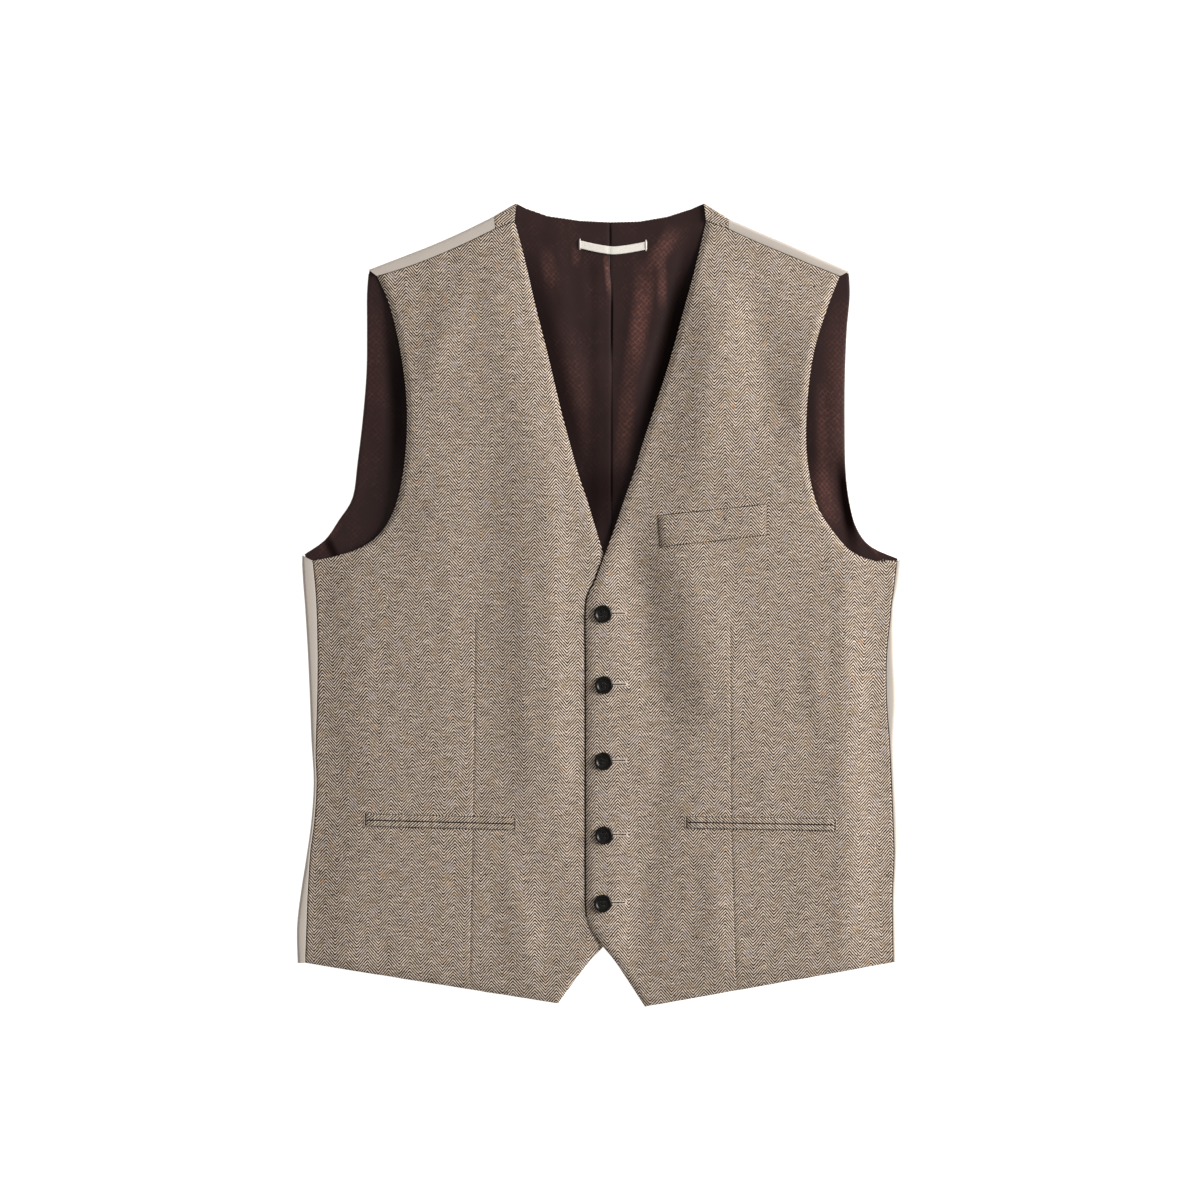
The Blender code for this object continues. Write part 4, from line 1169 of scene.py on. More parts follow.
def lining_points(side):
    """Half of the back lining, which shows in the neck and in both armholes."""
    under, *upper = smooth_rows(side.armhole, ROW_STEPS)
    hem_y = side.sections[0].seam_y + LINING_HEM_RISE
    outer, inner = [], []
    for t in spaced(0.0, 1.0, LINING_ROWS):
        y = lerp(hem_y, side.sections[-1].seam_y, t)
        outer.append((fold_x_at(side, y) - side.sign * LINING_INSET, y))
        y = lerp(CENTRE_HEM_Y + LINING_HEM_RISE, under.centre_y, t)
        inner.append((lining_centre(side, y), y))
    for row in upper:
        outer.append((row.back_x - side.sign * EDGE_INSET, row.back_y))
        inner.append((lining_centre(side, row.centre_y), row.centre_y))
    tips = [points[0][:2] for points in shoulder_rolls(side.shoulder)]
    neck = [row for row in NECK if (row.edge_x - CENTRE_X) * side.sign > 0]
    if side.sign > 0:
        neck = neck[::-1]
    line = [shift(point, 0, -LINING_SHOULDER_DROP) for point in tips[:-1]]
    line.append(shift(side.shoulder[-1][1:3], -LINING_CORNER_IN * side.sign, -EDGE_INSET))
    corner = len(line)
    line += [(row.edge_x, row.edge_y - EDGE_INSET) for row in neck]
    centre_y = NECK_EDGE_Y - EDGE_INSET
    line.append((lining_centre(side, centre_y), centre_y))
    outer[-1] = line[0]
    inner[-1] = line[-1]
    panel = Panel(outer, inner, lambda u: along(line, u))
    share = run_of(line[:corner]) / run_of(line)
    before = round(share * LINING_COLUMNS)
    columns = spaced(0.0, share, before)[:-1] + spaced(share, 1.0, LINING_COLUMNS - before)
    points = []
    for row in range(len(outer)):
        places = [panel.point(row, u) for u in columns]
        points.append([Vector((x, y, lining_height(side, x, y))) for x, y in places])
    return points


def press_pleat(points):
    """Presses the lining's folded edge thin."""
    ends = [[(line[-1] - point).length / PLEAT_PRESS_REACH for point in line] for line in points]
    return press(points, [[PLEAT_PRESS * (1.0 - ease(end)) for end in row] for row in ends], LINING_WALL)


def strip_points(strip, height, steps, crown):
    """A strip between four corners, laid on a surface and a little fuller in its middle."""
    rows = []
    for t in spaced(0.0, 1.0, steps[1]):
        start = (lerp(strip.x0, strip.x3, t), lerp(strip.y0, strip.y3, t))
        end = (lerp(strip.x1, strip.x2, t), lerp(strip.y1, strip.y2, t))
        rise = LAYER_GAP + crown * math.sin(math.pi * t)
        rows.append([(x, y, height(x, y) + rise) for x, y in line_of(start, end, steps[0])])
    return rows


def loop_points(height):
    """The hanger loop, hung between its ends over the lining."""
    rows = []
    for offset in spaced(0.5 * LOOP_WIDTH, -0.5 * LOOP_WIDTH, LOOP_STEPS[1]):
        row = []
        for t in spaced(0.0, 1.0, LOOP_STEPS[0]):
            bow = 4.0 * t * (1.0 - t)
            point = 1.0 - abs(2.0 * t - 1.0) ** LOOP_POINT_POWER
            sag = LOOP_SAG * lerp(bow ** LOOP_BOW_POWER, point, LOOP_POINT)
            x = lerp(LOOP_LEFT[0], LOOP_RIGHT[0], t)
            y = lerp(LOOP_LEFT[1], LOOP_RIGHT[1], t) - sag + offset
            row.append(Vector((x, y, height(x, y) + LAYER_GAP + TAPE_WALL + LOOP_HUMP * bow)))
        rows.append(row)
    for column in zip(*rows):
        top = max(point.z for point in column)
        for point in column:
            point.z = lerp(point.z, top, LOOP_LEVEL)
    return rows


# ---- materials

class Nodes:
    """A node tree, and the nodes that are added to it."""

    def __init__(self, tree):
        self.tree = tree

    def put(self, socket, value):
        """Links a socket to another, or sets its value."""
        if isinstance(value, bpy.types.NodeSocket):
            self.tree.links.new(value, socket)
        else:
            socket.default_value = (*value, 1.0) if socket.type == "RGBA" else value

    def node(self, kind, inputs=(), **settings):
        """The outputs of a new node with these settings, its inputs linked or set."""
        node = self.tree.nodes.new(kind)
        for name, value in settings.items():
            setattr(node, name, value)
        for key, value in dict(inputs).items():
            self.put(node.inputs[key], value)
        return node.outputs


class Finish(Nodes):
    """The nodes of a new material. Lengths are in metres, and scales in features per metre."""

    def __init__(self, name):
        self.material = bpy.data.materials.new(name)
        self.material.use_nodes = True
        super().__init__(self.material.node_tree)
        self.shader = self.tree.nodes["Principled BSDF"]

    def math(self, operation, *values, clamp=False):
        return self.node("ShaderNodeMath", enumerate(values), operation=operation, use_clamp=clamp)[0]

    def add(self, a, b, clamp=False):
        return self.math("ADD", a, b, clamp=clamp)

    def take(self, a, b):
        return self.math("SUBTRACT", a, b)

    def times(self, a, b):
        return self.math("MULTIPLY", a, b)

    def apart(self, a, b):
        """The distance between two values."""
        return self.math("ABSOLUTE", self.take(a, b))

    def spread(self, value, amount):
        """A value round 0.5 made into one round 0."""
        return self.times(self.take(value, 0.5), amount)

    def mix(self, factor, a, b, blend="MIX"):
        colours = {0: factor, 6: a, 7: b}
        return self.node("ShaderNodeMix", colours, data_type="RGBA", blend_type=blend)[2]

    def grey(self, value):
        return self.node("ShaderNodeCombineColor", {0: value, 1: value, 2: value})[0]

    def cloth(self):
        return self.node("ShaderNodeUVMap", uv_map=UV_NAME)[0]

    def place(self):
        return self.node("ShaderNodeTexCoord")["Object"]

    def parts(self, vector):
        return self.node("ShaderNodeSeparateXYZ", {0: vector})[:2]

    def mapped(self, vector, stretch=(1.0, 1.0), turn=0.0, at=(0.0, 0.0)):
        inputs = {"Vector": vector, "Scale": (*stretch, 1.0), "Rotation": (0.0, 0.0, turn)}
        return self.node("ShaderNodeMapping", {**inputs, "Location": (*at, 0.0)})[0]

    def noise(self, vector, scale, detail=2.0, **mapping):
        """Uneven values round 0.5."""
        if mapping:
            vector = self.mapped(vector, **mapping)
        return self.node("ShaderNodeTexNoise", {"Vector": vector, "Scale": scale, "Detail": detail})["Fac"]

    def step(self, value, low, high):
        """A soft step from 0 at low to 1 at high."""
        inputs = {"Value": value, "From Min": low, "From Max": high}
        return self.node("ShaderNodeMapRange", inputs, interpolation_type="SMOOTHSTEP")[0]

    def band(self, vector, fold):
        """The strength of a long soft band: its height on its line, 0 past its reach."""
        run = Vector((fold.x1 - fold.x0, fold.y1 - fold.y0, 0.0))
        middle = Vector((fold.x0 + fold.x1, fold.y0 + fold.y1, 0.0)) * 0.5 * MM
        side = (Vector((run.y, -run.x, 0.0)), fold.reach, BAND_SIDE)
        end = (run, 0.5 * run.length, BAND_END)
        strength = fold.height
        for way, half, far in (side, end):
            way = way.normalized()
            dot = self.node("ShaderNodeVectorMath", {0: vector, 1: way}, operation="DOT_PRODUCT")["Value"]
            off = self.apart(dot, middle.dot(way))
            strength = self.times(self.step(off, far * half * MM, BAND_CORE * half * MM), strength)
        return strength

    def bands(self, vector, folds):
        """The strengths of several bands together, kept between 0 and 1."""
        total = 0.0
        for fold in folds:
            total = self.add(total, self.band(vector, fold), clamp=True)
        return total

    def bump(self, height, strength, distance):
        inputs = {"Height": height, "Strength": strength, "Distance": distance}
        self.put(self.shader.inputs["Normal"], self.node("ShaderNodeBump", inputs)[0])

    def surface(self, **inputs):
        """Links or sets the shader's inputs, with _ for each space in their names."""
        for name, value in inputs.items():
            self.put(self.shader.inputs[name.replace("_", " ")], value)
        return self.material


def tweed_material(name):
    """Herringbone: twill lines of pale and dark yarn that turn at each stripe."""
    look = bpy.context.scene.waistcoat_tweed
    finish = Finish(name)
    cloth = finish.cloth()
    u, v = finish.parts(cloth)
    u = finish.add(u, finish.spread(finish.noise(cloth, 95.0), STRIPE_WANDER))
    v = finish.add(v, finish.spread(finish.noise(cloth, 120.0, at=(3.1, 1.7)), TWILL_WANDER))
    stripe = finish.math("PINGPONG", u, look.stripe_width)
    rise = finish.math("MULTIPLY_ADD", stripe, look.twill_slope, v)
    phase = finish.math("FRACT", finish.math("DIVIDE", rise, look.twill_pitch))
    line = finish.times(finish.apart(phase, 0.5), 2.0)
    weft = finish.noise(cloth, 520.0, stretch=(0.16, 1.0), at=(0.4, 3.3))
    uneven = finish.spread(finish.noise(cloth, 620.0, detail=3.0), YARN_UNEVEN)
    uneven = finish.add(uneven, finish.spread(weft, WEFT_UNEVEN))
    middle = finish.take(look.line_share, uneven)
    pale = finish.step(line, finish.take(middle, YARN_EDGE), finish.add(middle, YARN_EDGE))

    slub = finish.noise(cloth, 900.0, detail=3.0, stretch=(1.0, 0.3))
    cream = finish.mix(finish.step(slub, 0.32, 0.68), look.cream_shade, look.cream)
    brown = finish.mix(finish.step(finish.noise(cloth, 760.0), 0.35, 0.7), look.brown, look.brown_light)
    colour = finish.mix(pale, brown, cream)
    for fleck in FLECKS:
        start = (fleck.x, fleck.y)
        spots = finish.noise(cloth, fleck.scale, fleck.detail, stretch=(fleck.stretch, 1.0), at=start)
        share = finish.times(finish.step(spots, fleck.low, fleck.high), fleck.share)
        colour = finish.mix(share, colour, getattr(look, fleck.yarn))
    streaks = finish.noise(cloth, 210.0, detail=3.0, stretch=(0.22, 1.0), at=(2.6, 7.7))
    tone = finish.spread(finish.noise(cloth, 70.0, detail=3.0), TONE_CLOUDS)
    tone = finish.add(tone, finish.spread(streaks, TONE_STREAKS))
    colour = finish.mix(1.0, colour, finish.grey(finish.add(tone, 1.0)), "MULTIPLY")

    relief = finish.math("MULTIPLY_ADD", finish.noise(cloth, 2100.0), 0.5, line)
    finish.bump(relief, strength=0.35, distance=0.00035)
    return finish.surface(Base_Color=colour, Roughness=0.9, Sheen_Tint=look.sheen, Sheen_Weight=0.10,
                          Sheen_Roughness=0.55, Specular_IOR_Level=0.12)


def satin_material(name):
    """Plain beige satin, with its fine ribs running across."""
    look = bpy.context.scene.waistcoat_satin
    finish = Finish(name)
    place = finish.place()
    cloudy = finish.step(finish.noise(place, 38.0, detail=3.0), 0.3, 0.7)
    ribs = finish.noise(place, 700.0, stretch=(1.0, 6.0))
    colour = finish.mix(cloudy, look.shade, look.colour)
    # Lighter colour on the fine ribs: their texture and a painted glint.
    colour = finish.mix(finish.times(finish.step(ribs, 0.35, 0.75), 0.12), colour, look.rib)
    finish.bump(ribs, strength=0.12, distance=0.0002)
    rough = finish.math("MULTIPLY_ADD", ribs, 0.12, 0.5)
    return finish.surface(Base_Color=colour, Roughness=rough, Sheen_Weight=0.05, Sheen_Roughness=0.4,
                          Specular_IOR_Level=0.16)


def lining_material(name):
    """Shot lining: brown-black with random burgundy clouds and a rust lattice; painted highlights of burgundy
    and of the lattice on folds that turn to the light, and painted shadow beside the edges and in the folds.
    """
    look = bpy.context.scene.waistcoat_lining
    finish = Finish(name)
    cloth = finish.cloth()
    # Bands of painted shadow; the sheen and the specular fade in them too.
    shade = finish.bands(cloth, LINING_SHADES)
    lit = finish.take(1.0, shade)
    clouds = finish.noise(cloth, 46.0, detail=3.0, stretch=(1.0, 0.45), at=(6.0, 1.0))
    # Random burgundy clouds of the shot cloth, and bands of painted highlight where the folds turn to the
    # light.
    shot_and_painted_light = finish.add(finish.bands(cloth, LINING_PAINTED_HIGHLIGHTS), finish.spread(clouds, 0.45), clamp=True)
    wander = finish.spread(finish.noise(cloth, 42.0, detail=3.0), 2.4)
    threads = []
    for sign in (-1.0, 1.0):
        across = finish.parts(finish.mapped(cloth, turn=sign * look.lattice_turn))[0]
        steps = finish.add(finish.math("DIVIDE", across, look.lattice_spacing), wander)
        threads.append(finish.step(finish.apart(finish.math("FRACT", steps), 0.5), 0.39, 0.47))
    # The lattice's rust threads show mostly in the painted highlights, as a painted glint, and a little at
    # random.
    lattice_glint = finish.step(finish.noise(cloth, 60.0, detail=3.0, at=(2.2, 5.1)), 0.45, 0.66)
    lattice_glint = finish.math("MULTIPLY_ADD", shot_and_painted_light, 0.62, finish.times(lattice_glint, 0.10), clamp=True)
    worn = finish.step(finish.noise(cloth, 240.0, at=(0.7, 6.6)), 0.34, 0.62)
    lattice = finish.times(finish.math("MAXIMUM", *threads), finish.times(lattice_glint, worn))
    colour = finish.mix(shot_and_painted_light, look.dark, look.burgundy)
    colour = finish.mix(finish.times(lattice, 0.85), colour, look.rust)
    # Painted shadow in the bands of LINING_SHADES.
    colour = finish.mix(shade, colour, look.shadow)
    ribs = finish.noise(cloth, 800.0, stretch=(1.0, 5.0))
    finish.bump(finish.math("MULTIPLY_ADD", lattice, 0.6, ribs), strength=0.10, distance=0.0002)
    return finish.surface(Base_Color=colour, Roughness=0.46, Sheen_Tint=look.sheen, Sheen_Roughness=0.35,
                          Sheen_Weight=finish.times(lit, 0.07), Specular_IOR_Level=finish.times(lit, 0.14))


def tape_material(name):
    """Cream woven tape with fine ribs across it."""
    finish = Finish(name)
    cloth = finish.cloth()
    ribs = finish.math("SINE", finish.times(finish.parts(cloth)[0], TAPE_RIBS))
    slub = finish.noise(cloth, 900.0)
    colour = finish.mix(finish.step(slub, 0.3, 0.7), *TAPE_COLOURS)
    finish.bump(finish.math("MULTIPLY_ADD", ribs, 0.4, slub), strength=0.25, distance=0.00015)
    return finish.surface(Base_Color=colour, Roughness=0.62, Sheen_Weight=0.15, Specular_IOR_Level=0.3)


def button_material(name):
    """Dark horn effect: near black with faint grey and brown streaks."""
    look = bpy.context.scene.waistcoat_buttons
    finish = Finish(name)
    place = finish.place()
    streaks = finish.noise(place, 260.0, detail=4.0, stretch=(1.0, 3.0), turn=0.5)
    colour = finish.mix(finish.step(streaks, 0.46, 0.72), look.colour, look.streak)
    rough = finish.math("MULTIPLY_ADD", finish.noise(place, 900.0), 0.2, look.roughness - 0.1)
    return finish.surface(Base_Color=colour, Roughness=rough, Specular_IOR_Level=0.24)


def thread_material(name):
    """Twisted sewing thread."""
    finish = Finish(name)
    mottle = finish.noise(finish.place(), 1500.0)
    finish.bump(mottle, strength=0.2, distance=0.0001)
    colour = finish.mix(finish.step(mottle, 0.3, 0.7), *THREADS[name])
    return finish.surface(Base_Color=colour, Roughness=0.7, Sheen_Weight=0.1, Specular_IOR_Level=0.3)


def painted_shadow_material(name):
    """Near-black cloth of painted shade: in the pocket mouths, the buttonholes' slits, under the left front's
    edge and in the lining's seam.
    """
    finish = Finish(name)
    colour = finish.mix(finish.step(finish.noise(finish.place(), 900.0), 0.3, 0.7), *PAINTED_SHADOW_COLOURS)
    return finish.surface(Base_Color=colour, Roughness=0.9, Specular_IOR_Level=0.1)


def floor_material(name):
    finish = Finish(name)
    floor = bpy.context.scene.waistcoat_stage.floor_colour
    mottle = finish.step(finish.noise(finish.place(), 14.0, detail=3.0), 0.2, 0.8)
    colour = finish.mix(mottle, [FLOOR_MOTTLE * part for part in floor], floor)
    return finish.surface(Base_Color=colour, Roughness=0.8, Specular_IOR_Level=0.1, Emission_Color=WHITE,
                          Emission_Strength=FLOOR_GLOW)


MAKERS = {
    "herringbone_tweed": tweed_material, "beige_satin": satin_material, "lattice_lining": lining_material,
    "cream_tape": tape_material, "dark_horn": button_material, "pocket_inside": painted_shadow_material,
    "pale_floor": floor_material,
}


def material_of(name):
    """The material of that name, made the first time that it is asked for."""
    return bpy.data.materials.get(name) or MAKERS.get(name, thread_material)(name)


# ---- rows of stitches

def stitch_tree():
    """Geometry Nodes: a stitch at each step along every edge path of a mesh."""
    tree = bpy.data.node_groups.new("row_of_stitches", "GeometryNodeTree")
    sockets = {}
    for label, kind in STITCH_INPUTS:
        socket = tree.interface.new_socket(label, in_out="INPUT", socket_type="NodeSocket" + kind)
        sockets[label] = socket.identifier
    tree.interface.new_socket("Stitches", in_out="OUTPUT", socket_type="NodeSocketGeometry")
    node = Nodes(tree).node
    given = node("NodeGroupInput")
    width = given["Stitch Width"]
    curve = node("GeometryNodeMeshToCurve", {"Mesh": given["Paths"]})[0]
    curve = node("GeometryNodeResampleCurve", {"Curve": curve, "Length": given["Spacing"]}, mode="LENGTH")[0]
    ball = node("GeometryNodeMeshUVSphere", {"Segments": 6, "Rings": 5, "Radius": 0.5})["Mesh"]
    size = node("ShaderNodeCombineXYZ", {"X": given["Stitch Length"], "Y": width, "Z": width})[0]
    tangent = node("GeometryNodeInputTangent")[0]
    point = node("FunctionNodeAlignRotationToVector", {"Vector": tangent}, axis="X", pivot_axis="Z")[0]
    low = node("ShaderNodeMath", {0: given["Wander"], 1: -1.0}, operation="MULTIPLY")[0]
    wander = node("FunctionNodeRandomValue", {2: low, 3: given["Wander"], "Seed": STITCH_SEED})[1]
    angle = node("ShaderNodeMath", {0: given["Turn"], 1: wander})[0]
    turn = node("ShaderNodeCombineXYZ", {"Z": angle})[0]
    turned = {"Rotation": point, "Rotate By": turn}
    turned = node("FunctionNodeRotateRotation", turned, rotation_space="LOCAL")[0]
    spots = {"Points": curve, "Instance": ball, "Rotation": turned, "Scale": size}
    stitches = node("GeometryNodeInstanceOnPoints", spots)[0]
    for kind in ("GeometryNodeRealizeInstances", "GeometryNodeSetShadeSmooth"):
        stitches = node(kind, {"Geometry": stitches})[0]
    stitches = node("GeometryNodeSetMaterial", {"Geometry": stitches, "Material": given["Thread"]})[0]
    node("NodeGroupOutput", {"Stitches": stitches})
    return tree, sockets


def sew(name, paths, kind):
    """Sews a row of stitches of a kind along each path, and makes them one plain mesh."""
    bm = bmesh.new()
    for path in paths:
        verts = [bm.verts.new(Vector(point) * MM) for point in path]
        for a, b in zip(verts, verts[1:]):
            bm.edges.new((a, b))
    mesh = bpy.data.meshes.new(name + "_path")
    bm.to_mesh(mesh)
    bm.free()
    blank = linked(bpy.data.objects.new(name + "_path", mesh))
    tree, sockets = stitch_tree()
    rows = blank.modifiers.new("Stitches", "NODES")
    rows.node_group = tree
    sizes = [size * MM for size in (kind.spacing, kind.length, kind.width)]
    values = (*sizes, kind.turn, kind.wander, material_of(kind.thread))
    for (label, _), value in zip(STITCH_INPUTS[1:], values):
        rows[sockets[label]] = value
    sewn = finished(blank)
    bpy.data.node_groups.remove(tree)
    return new_object(name, sewn, kind.thread)


def laid_path(points, height, rise):
    """A path on a surface, lifted by a small rise."""
    return [(x, y, height(x, y) + rise) for x, y in points]


def sew_lines(group, lines, height, thread, slot):
    """Sews each straight line of a table on a surface."""
    for line in lines:
        start, end = line[1:3], line[3:5]
        steps = max(int(math.dist(start, end) / LINE_STEP), 2)
        kind = Stitches(thread, slot, line.spacing, line.stitch, line.width, 0.0, LINE_WANDER)
        sew(group + "_" + line.name, [laid_path(line_of(start, end, steps), height, line.rise)], kind)


# ---- settings

def colour_setting(label, description, default):
    """A colour that a user can change."""
    return FloatVectorProperty(name=label, description=description, default=default, subtype="COLOR",
                               min=0.0, max=1.0)


class WaistcoatTweed(bpy.types.PropertyGroup):
    """The herringbone tweed of the fronts, band and pockets."""

    stripe_width: FloatProperty(
        name="Stripe Width", description="Width of one stripe of the herringbone",
        default=0.0091, min=0.002, max=0.05, unit="LENGTH")
    twill_pitch: FloatProperty(
        name="Twill Pitch", description="Distance from one twill line to the next, down the cloth",
        default=0.00272, min=0.0005, max=0.02, unit="LENGTH")
    twill_slope: FloatProperty(
        name="Twill Slope", description="How far a twill line rises for each unit across",
        default=1.16, min=0.3, max=3.0)
    line_share: FloatProperty(
        name="Dark Share", description="Share of the cloth that the dark yarn covers",
        default=0.552, min=0.1, max=0.9, subtype="FACTOR")
    cream: colour_setting("Cream", "Pale yarn", (0.918, 0.765, 0.626))
    cream_shade: colour_setting("Cream Shade", "Darker stretches of the pale yarn", (0.594, 0.472, 0.373))
    brown: colour_setting("Brown", "Dark yarn", (0.0165, 0.0088, 0.0050))
    brown_light: colour_setting("Brown Light", "Lighter stretches of the dark yarn", (0.060, 0.036, 0.022))
    rust_fleck: colour_setting("Rust Fleck", "Warm flecks", (0.55, 0.27, 0.10))
    tan_fleck: colour_setting("Tan Fleck", "Olive and tan flecks", (0.33, 0.225, 0.115))
    mauve_fleck: colour_setting("Mauve Fleck", "Cool flecks", (0.43, 0.38, 0.41))
    sheen: colour_setting("Tweed Sheen", "Tint of the raised fibres' sheen", (0.95, 0.80, 0.66))


class WaistcoatSatin(bpy.types.PropertyGroup):
    """The satin of the back."""

    colour: colour_setting("Satin", "Main colour", (0.575, 0.503, 0.438))
    shade: colour_setting("Satin Shade", "Cloudier patches", (0.55, 0.48, 0.415))
    # The ribs' lighter colour, partly a painted glint.
    rib: colour_setting("Satin Rib", "Glint along the ribs", (0.78, 0.73, 0.66))


class WaistcoatLining(bpy.types.PropertyGroup):
    """The lattice lining."""

    lattice_spacing: FloatProperty(
        name="Lattice Spacing", description="Distance between the lattice's fine threads",
        default=0.0032, min=0.001, max=0.03, unit="LENGTH")
    lattice_turn: FloatProperty(
        name="Lattice Turn", description="Angle of the lattice's threads to the upright",
        default=0.76, min=0.1, max=1.5, subtype="ANGLE")
    dark: colour_setting("Dark Ground", "Brown-black ground", (0.0310, 0.0158, 0.0148))
    # Burgundy shows in random clouds and in the painted highlights on the folds.
    burgundy: colour_setting("Burgundy Ground", "Burgundy ground", (0.092, 0.041, 0.0360))
    # The colour of the painted shadow beside the fronts' edges, in the pleat and in the folds.
    shadow: colour_setting("Deep Folds", "Ground beside the edges and in the folds", (0.0050, 0.0026, 0.0023))
    rust: colour_setting("Rust Thread", "Threads of the lattice", (0.38, 0.140, 0.095))
    sheen: colour_setting("Lining Sheen", "Tint of the soft sheen", (0.55, 0.30, 0.26))


class WaistcoatButtons(bpy.types.PropertyGroup):
    """The four-hole buttons."""

    sides: IntProperty(
        name="Sides", description="Sides of a turned button", default=56, min=12, max=128)
    roughness: FloatProperty(
        name="Roughness", description="Gloss of the horn effect", default=0.30, min=0.05, max=1.0,
        subtype="FACTOR")
    colour: colour_setting("Horn", "Main colour", (0.0040, 0.0034, 0.0028))
    streak: colour_setting("Horn Streak", "Streaks", (0.014, 0.0120, 0.0095))


class WaistcoatStage(bpy.types.PropertyGroup):
    """Floor, lights and camera."""

    floor_colour: colour_setting("Floor", "Colour of the floor", (0.60, 0.60, 0.60))
    camera_height: FloatProperty(
        name="Camera Height", description="Height of the camera above the floor", default=6.0, min=1.0,
        max=20.0, unit="LENGTH")
    view_width: FloatProperty(
        name="View Width", description="Width of the floor that the camera shows", default=1.02, min=0.2,
        max=5.0, unit="LENGTH")
    key_power: FloatProperty(
        name="Key Light", description="Power of the light from the upper right", default=222.0, min=0.0,
        max=1000.0, unit="POWER")
    fill_power: FloatProperty(
        name="Fill Light", description="Power of the light from above", default=4.0, min=0.0, max=1000.0,
        unit="POWER")
    sky: FloatProperty(
        name="Sky", description="Strength of the even light from all round", default=0.27, min=0.0, max=5.0)


# ---- weaves and small pieces

def plain_weave(x, y, column):
    return (x, y)


def flat_uv(point):
    return (point.x, point.y)


def band_uv(point):
    """The band's stripes run round the neck, and on over its roll."""
    return (BAND_TURN * point.z - point.y, point.x)


def welt_weave(x, y, column):
    """Cut a little off the front's stripes, and tilted with the welt's edge."""
    return (x + LEFT.weave_x - WELT_OFFSET, y - WELT_TILT * x)


def jet_weave(strip):
    """Cut across, so that one stripe fills the jet and its lines all lean one way."""
    lean = -1.0 if strip.x0 < 0 else 1.0
    middle = 0.25 * (strip.y0 + strip.y1 + strip.y2 + strip.y3)
    half_stripe = 0.5 * bpy.context.scene.waistcoat_tweed.stripe_width / MM

    def place(x, y, column):
        return (half_stripe + lean * (y - middle), x)

    return place


def lay_strip(strip, front, wall, steps, crown, weave):
    """Lays a welt or jet on a front, with its sewn ends pressed thin."""
    rows = strip_points(strip, surface_of(front), steps, crown)
    run = math.dist(strip[1:3], strip[3:5])
    ends = [run * min(i, steps[0] - i) / steps[0] for i in range(steps[0] + 1)]
    thin = [wall * (1.0 - END_PRESS * (1.0 - ease(end / END_PRESS_REACH))) for end in ends]
    points = [[Vector((x, y, z + w)) for (x, y, z), w in zip(row, thin)] for row in rows]
    name = "tweed_" + strip.name
    item = new_object(name, shell_mesh(name, points, [thin] * len(rows), weave), "herringbone_tweed",
                      strip.name)


def turned_button(sides):
    """A button turned on the vertical axis, with four holes through it, in metres."""
    profile = bpy.data.meshes.new("button_profile")
    points = [(radius * MM, 0.0, z * MM) for radius, z in BUTTON_OUTLINE]
    profile.from_pydata(points, [(i, i + 1) for i in range(len(points) - 1)], [])
    turned = linked(bpy.data.objects.new("button_blank", profile))
    screw = turned.modifiers.new("Turn", "SCREW")
    screw.steps = sides
    screw.render_steps = sides
    screw.use_merge_vertices = True
    screw.merge_threshold = 0.0001 * MM
    cutters = []
    half = 0.5 * HOLE_SPACING * MM
    for x, y in ((-half, -half), (half, -half), (half, half), (-half, half)):
        bpy.ops.mesh.primitive_cylinder_add(
            vertices=HOLE_SIDES, radius=HOLE_RADIUS * MM, depth=CUTTER_DEPTH * MM, location=(x, y, 0.0))
        cutters.append(bpy.context.active_object)
        turned.modifiers.new("Hole %d" % len(cutters), "BOOLEAN").object = cutters[-1]
    bevel = turned.modifiers.new("Soft Edges", "BEVEL")
    bevel.width = BUTTON_BEVEL * MM
    bevel.segments = 2
    bevel.limit_method = "ANGLE"
    mesh = finished(turned)
    for cutter in cutters:
        bpy.data.objects.remove(cutter, do_unlink=True)
    mesh.shade_smooth()
    mesh.set_sharp_from_angle(angle=math.radians(BUTTON_EDGE_ANGLE))
    return mesh


def buttonhole_outline(start_x, end_x, y):
    """Out along one lip, round the eye at the far end and back along the other lip."""
    eye_x = end_x - HOLE_EYE
    lip = spaced(start_x, eye_x, HOLE_LIP_STEPS)
    points = [(x, y + HOLE_HALF) for x in lip[:-1]]
    for degrees in spaced(HOLE_EYE_ANGLE, -HOLE_EYE_ANGLE, HOLE_EYE_STEPS):
        angle = math.radians(degrees)
        points.append((eye_x + HOLE_EYE * math.cos(angle), y + HOLE_EYE * math.sin(angle)))
    return points + [(x, y - HOLE_HALF) for x in lip[-2::-1]]


# ---- pieces

class WAISTCOAT_OT_fronts(bpy.types.Operator):
    """Makes the two tweed fronts, with their drape, darts and turned edges"""

    bl_idname = "waistcoat.fronts"
    bl_label = "Make Fronts"

    def execute(self, context):
        for side in SIDES:
            name = "tweed_front_" + side.name
            points = front_points(side)
            walls = press_edges(points, ROW_STEPS * (len(side.sections) - 1))
            mesh = shell_mesh(name, points, walls, front_weave(side))
            item = new_object(name, mesh, "herringbone_tweed", "front_" + side.name)
        return {"FINISHED"}


class WAISTCOAT_OT_back(bpy.types.Operator):
    """Makes both halves of the satin back, rolled forward at the sides and shoulders"""

    bl_idname = "waistcoat.back"
    bl_label = "Make Back"

    def execute(self, context):
        for side in SIDES:
            name = "satin_back_" + side.name
            mesh = rolled_mesh(name, back_grids(side), SATIN_WALL, flat_uv)
            item = new_object(name, mesh, "beige_satin", "back_" + side.name)
        return {"FINISHED"}


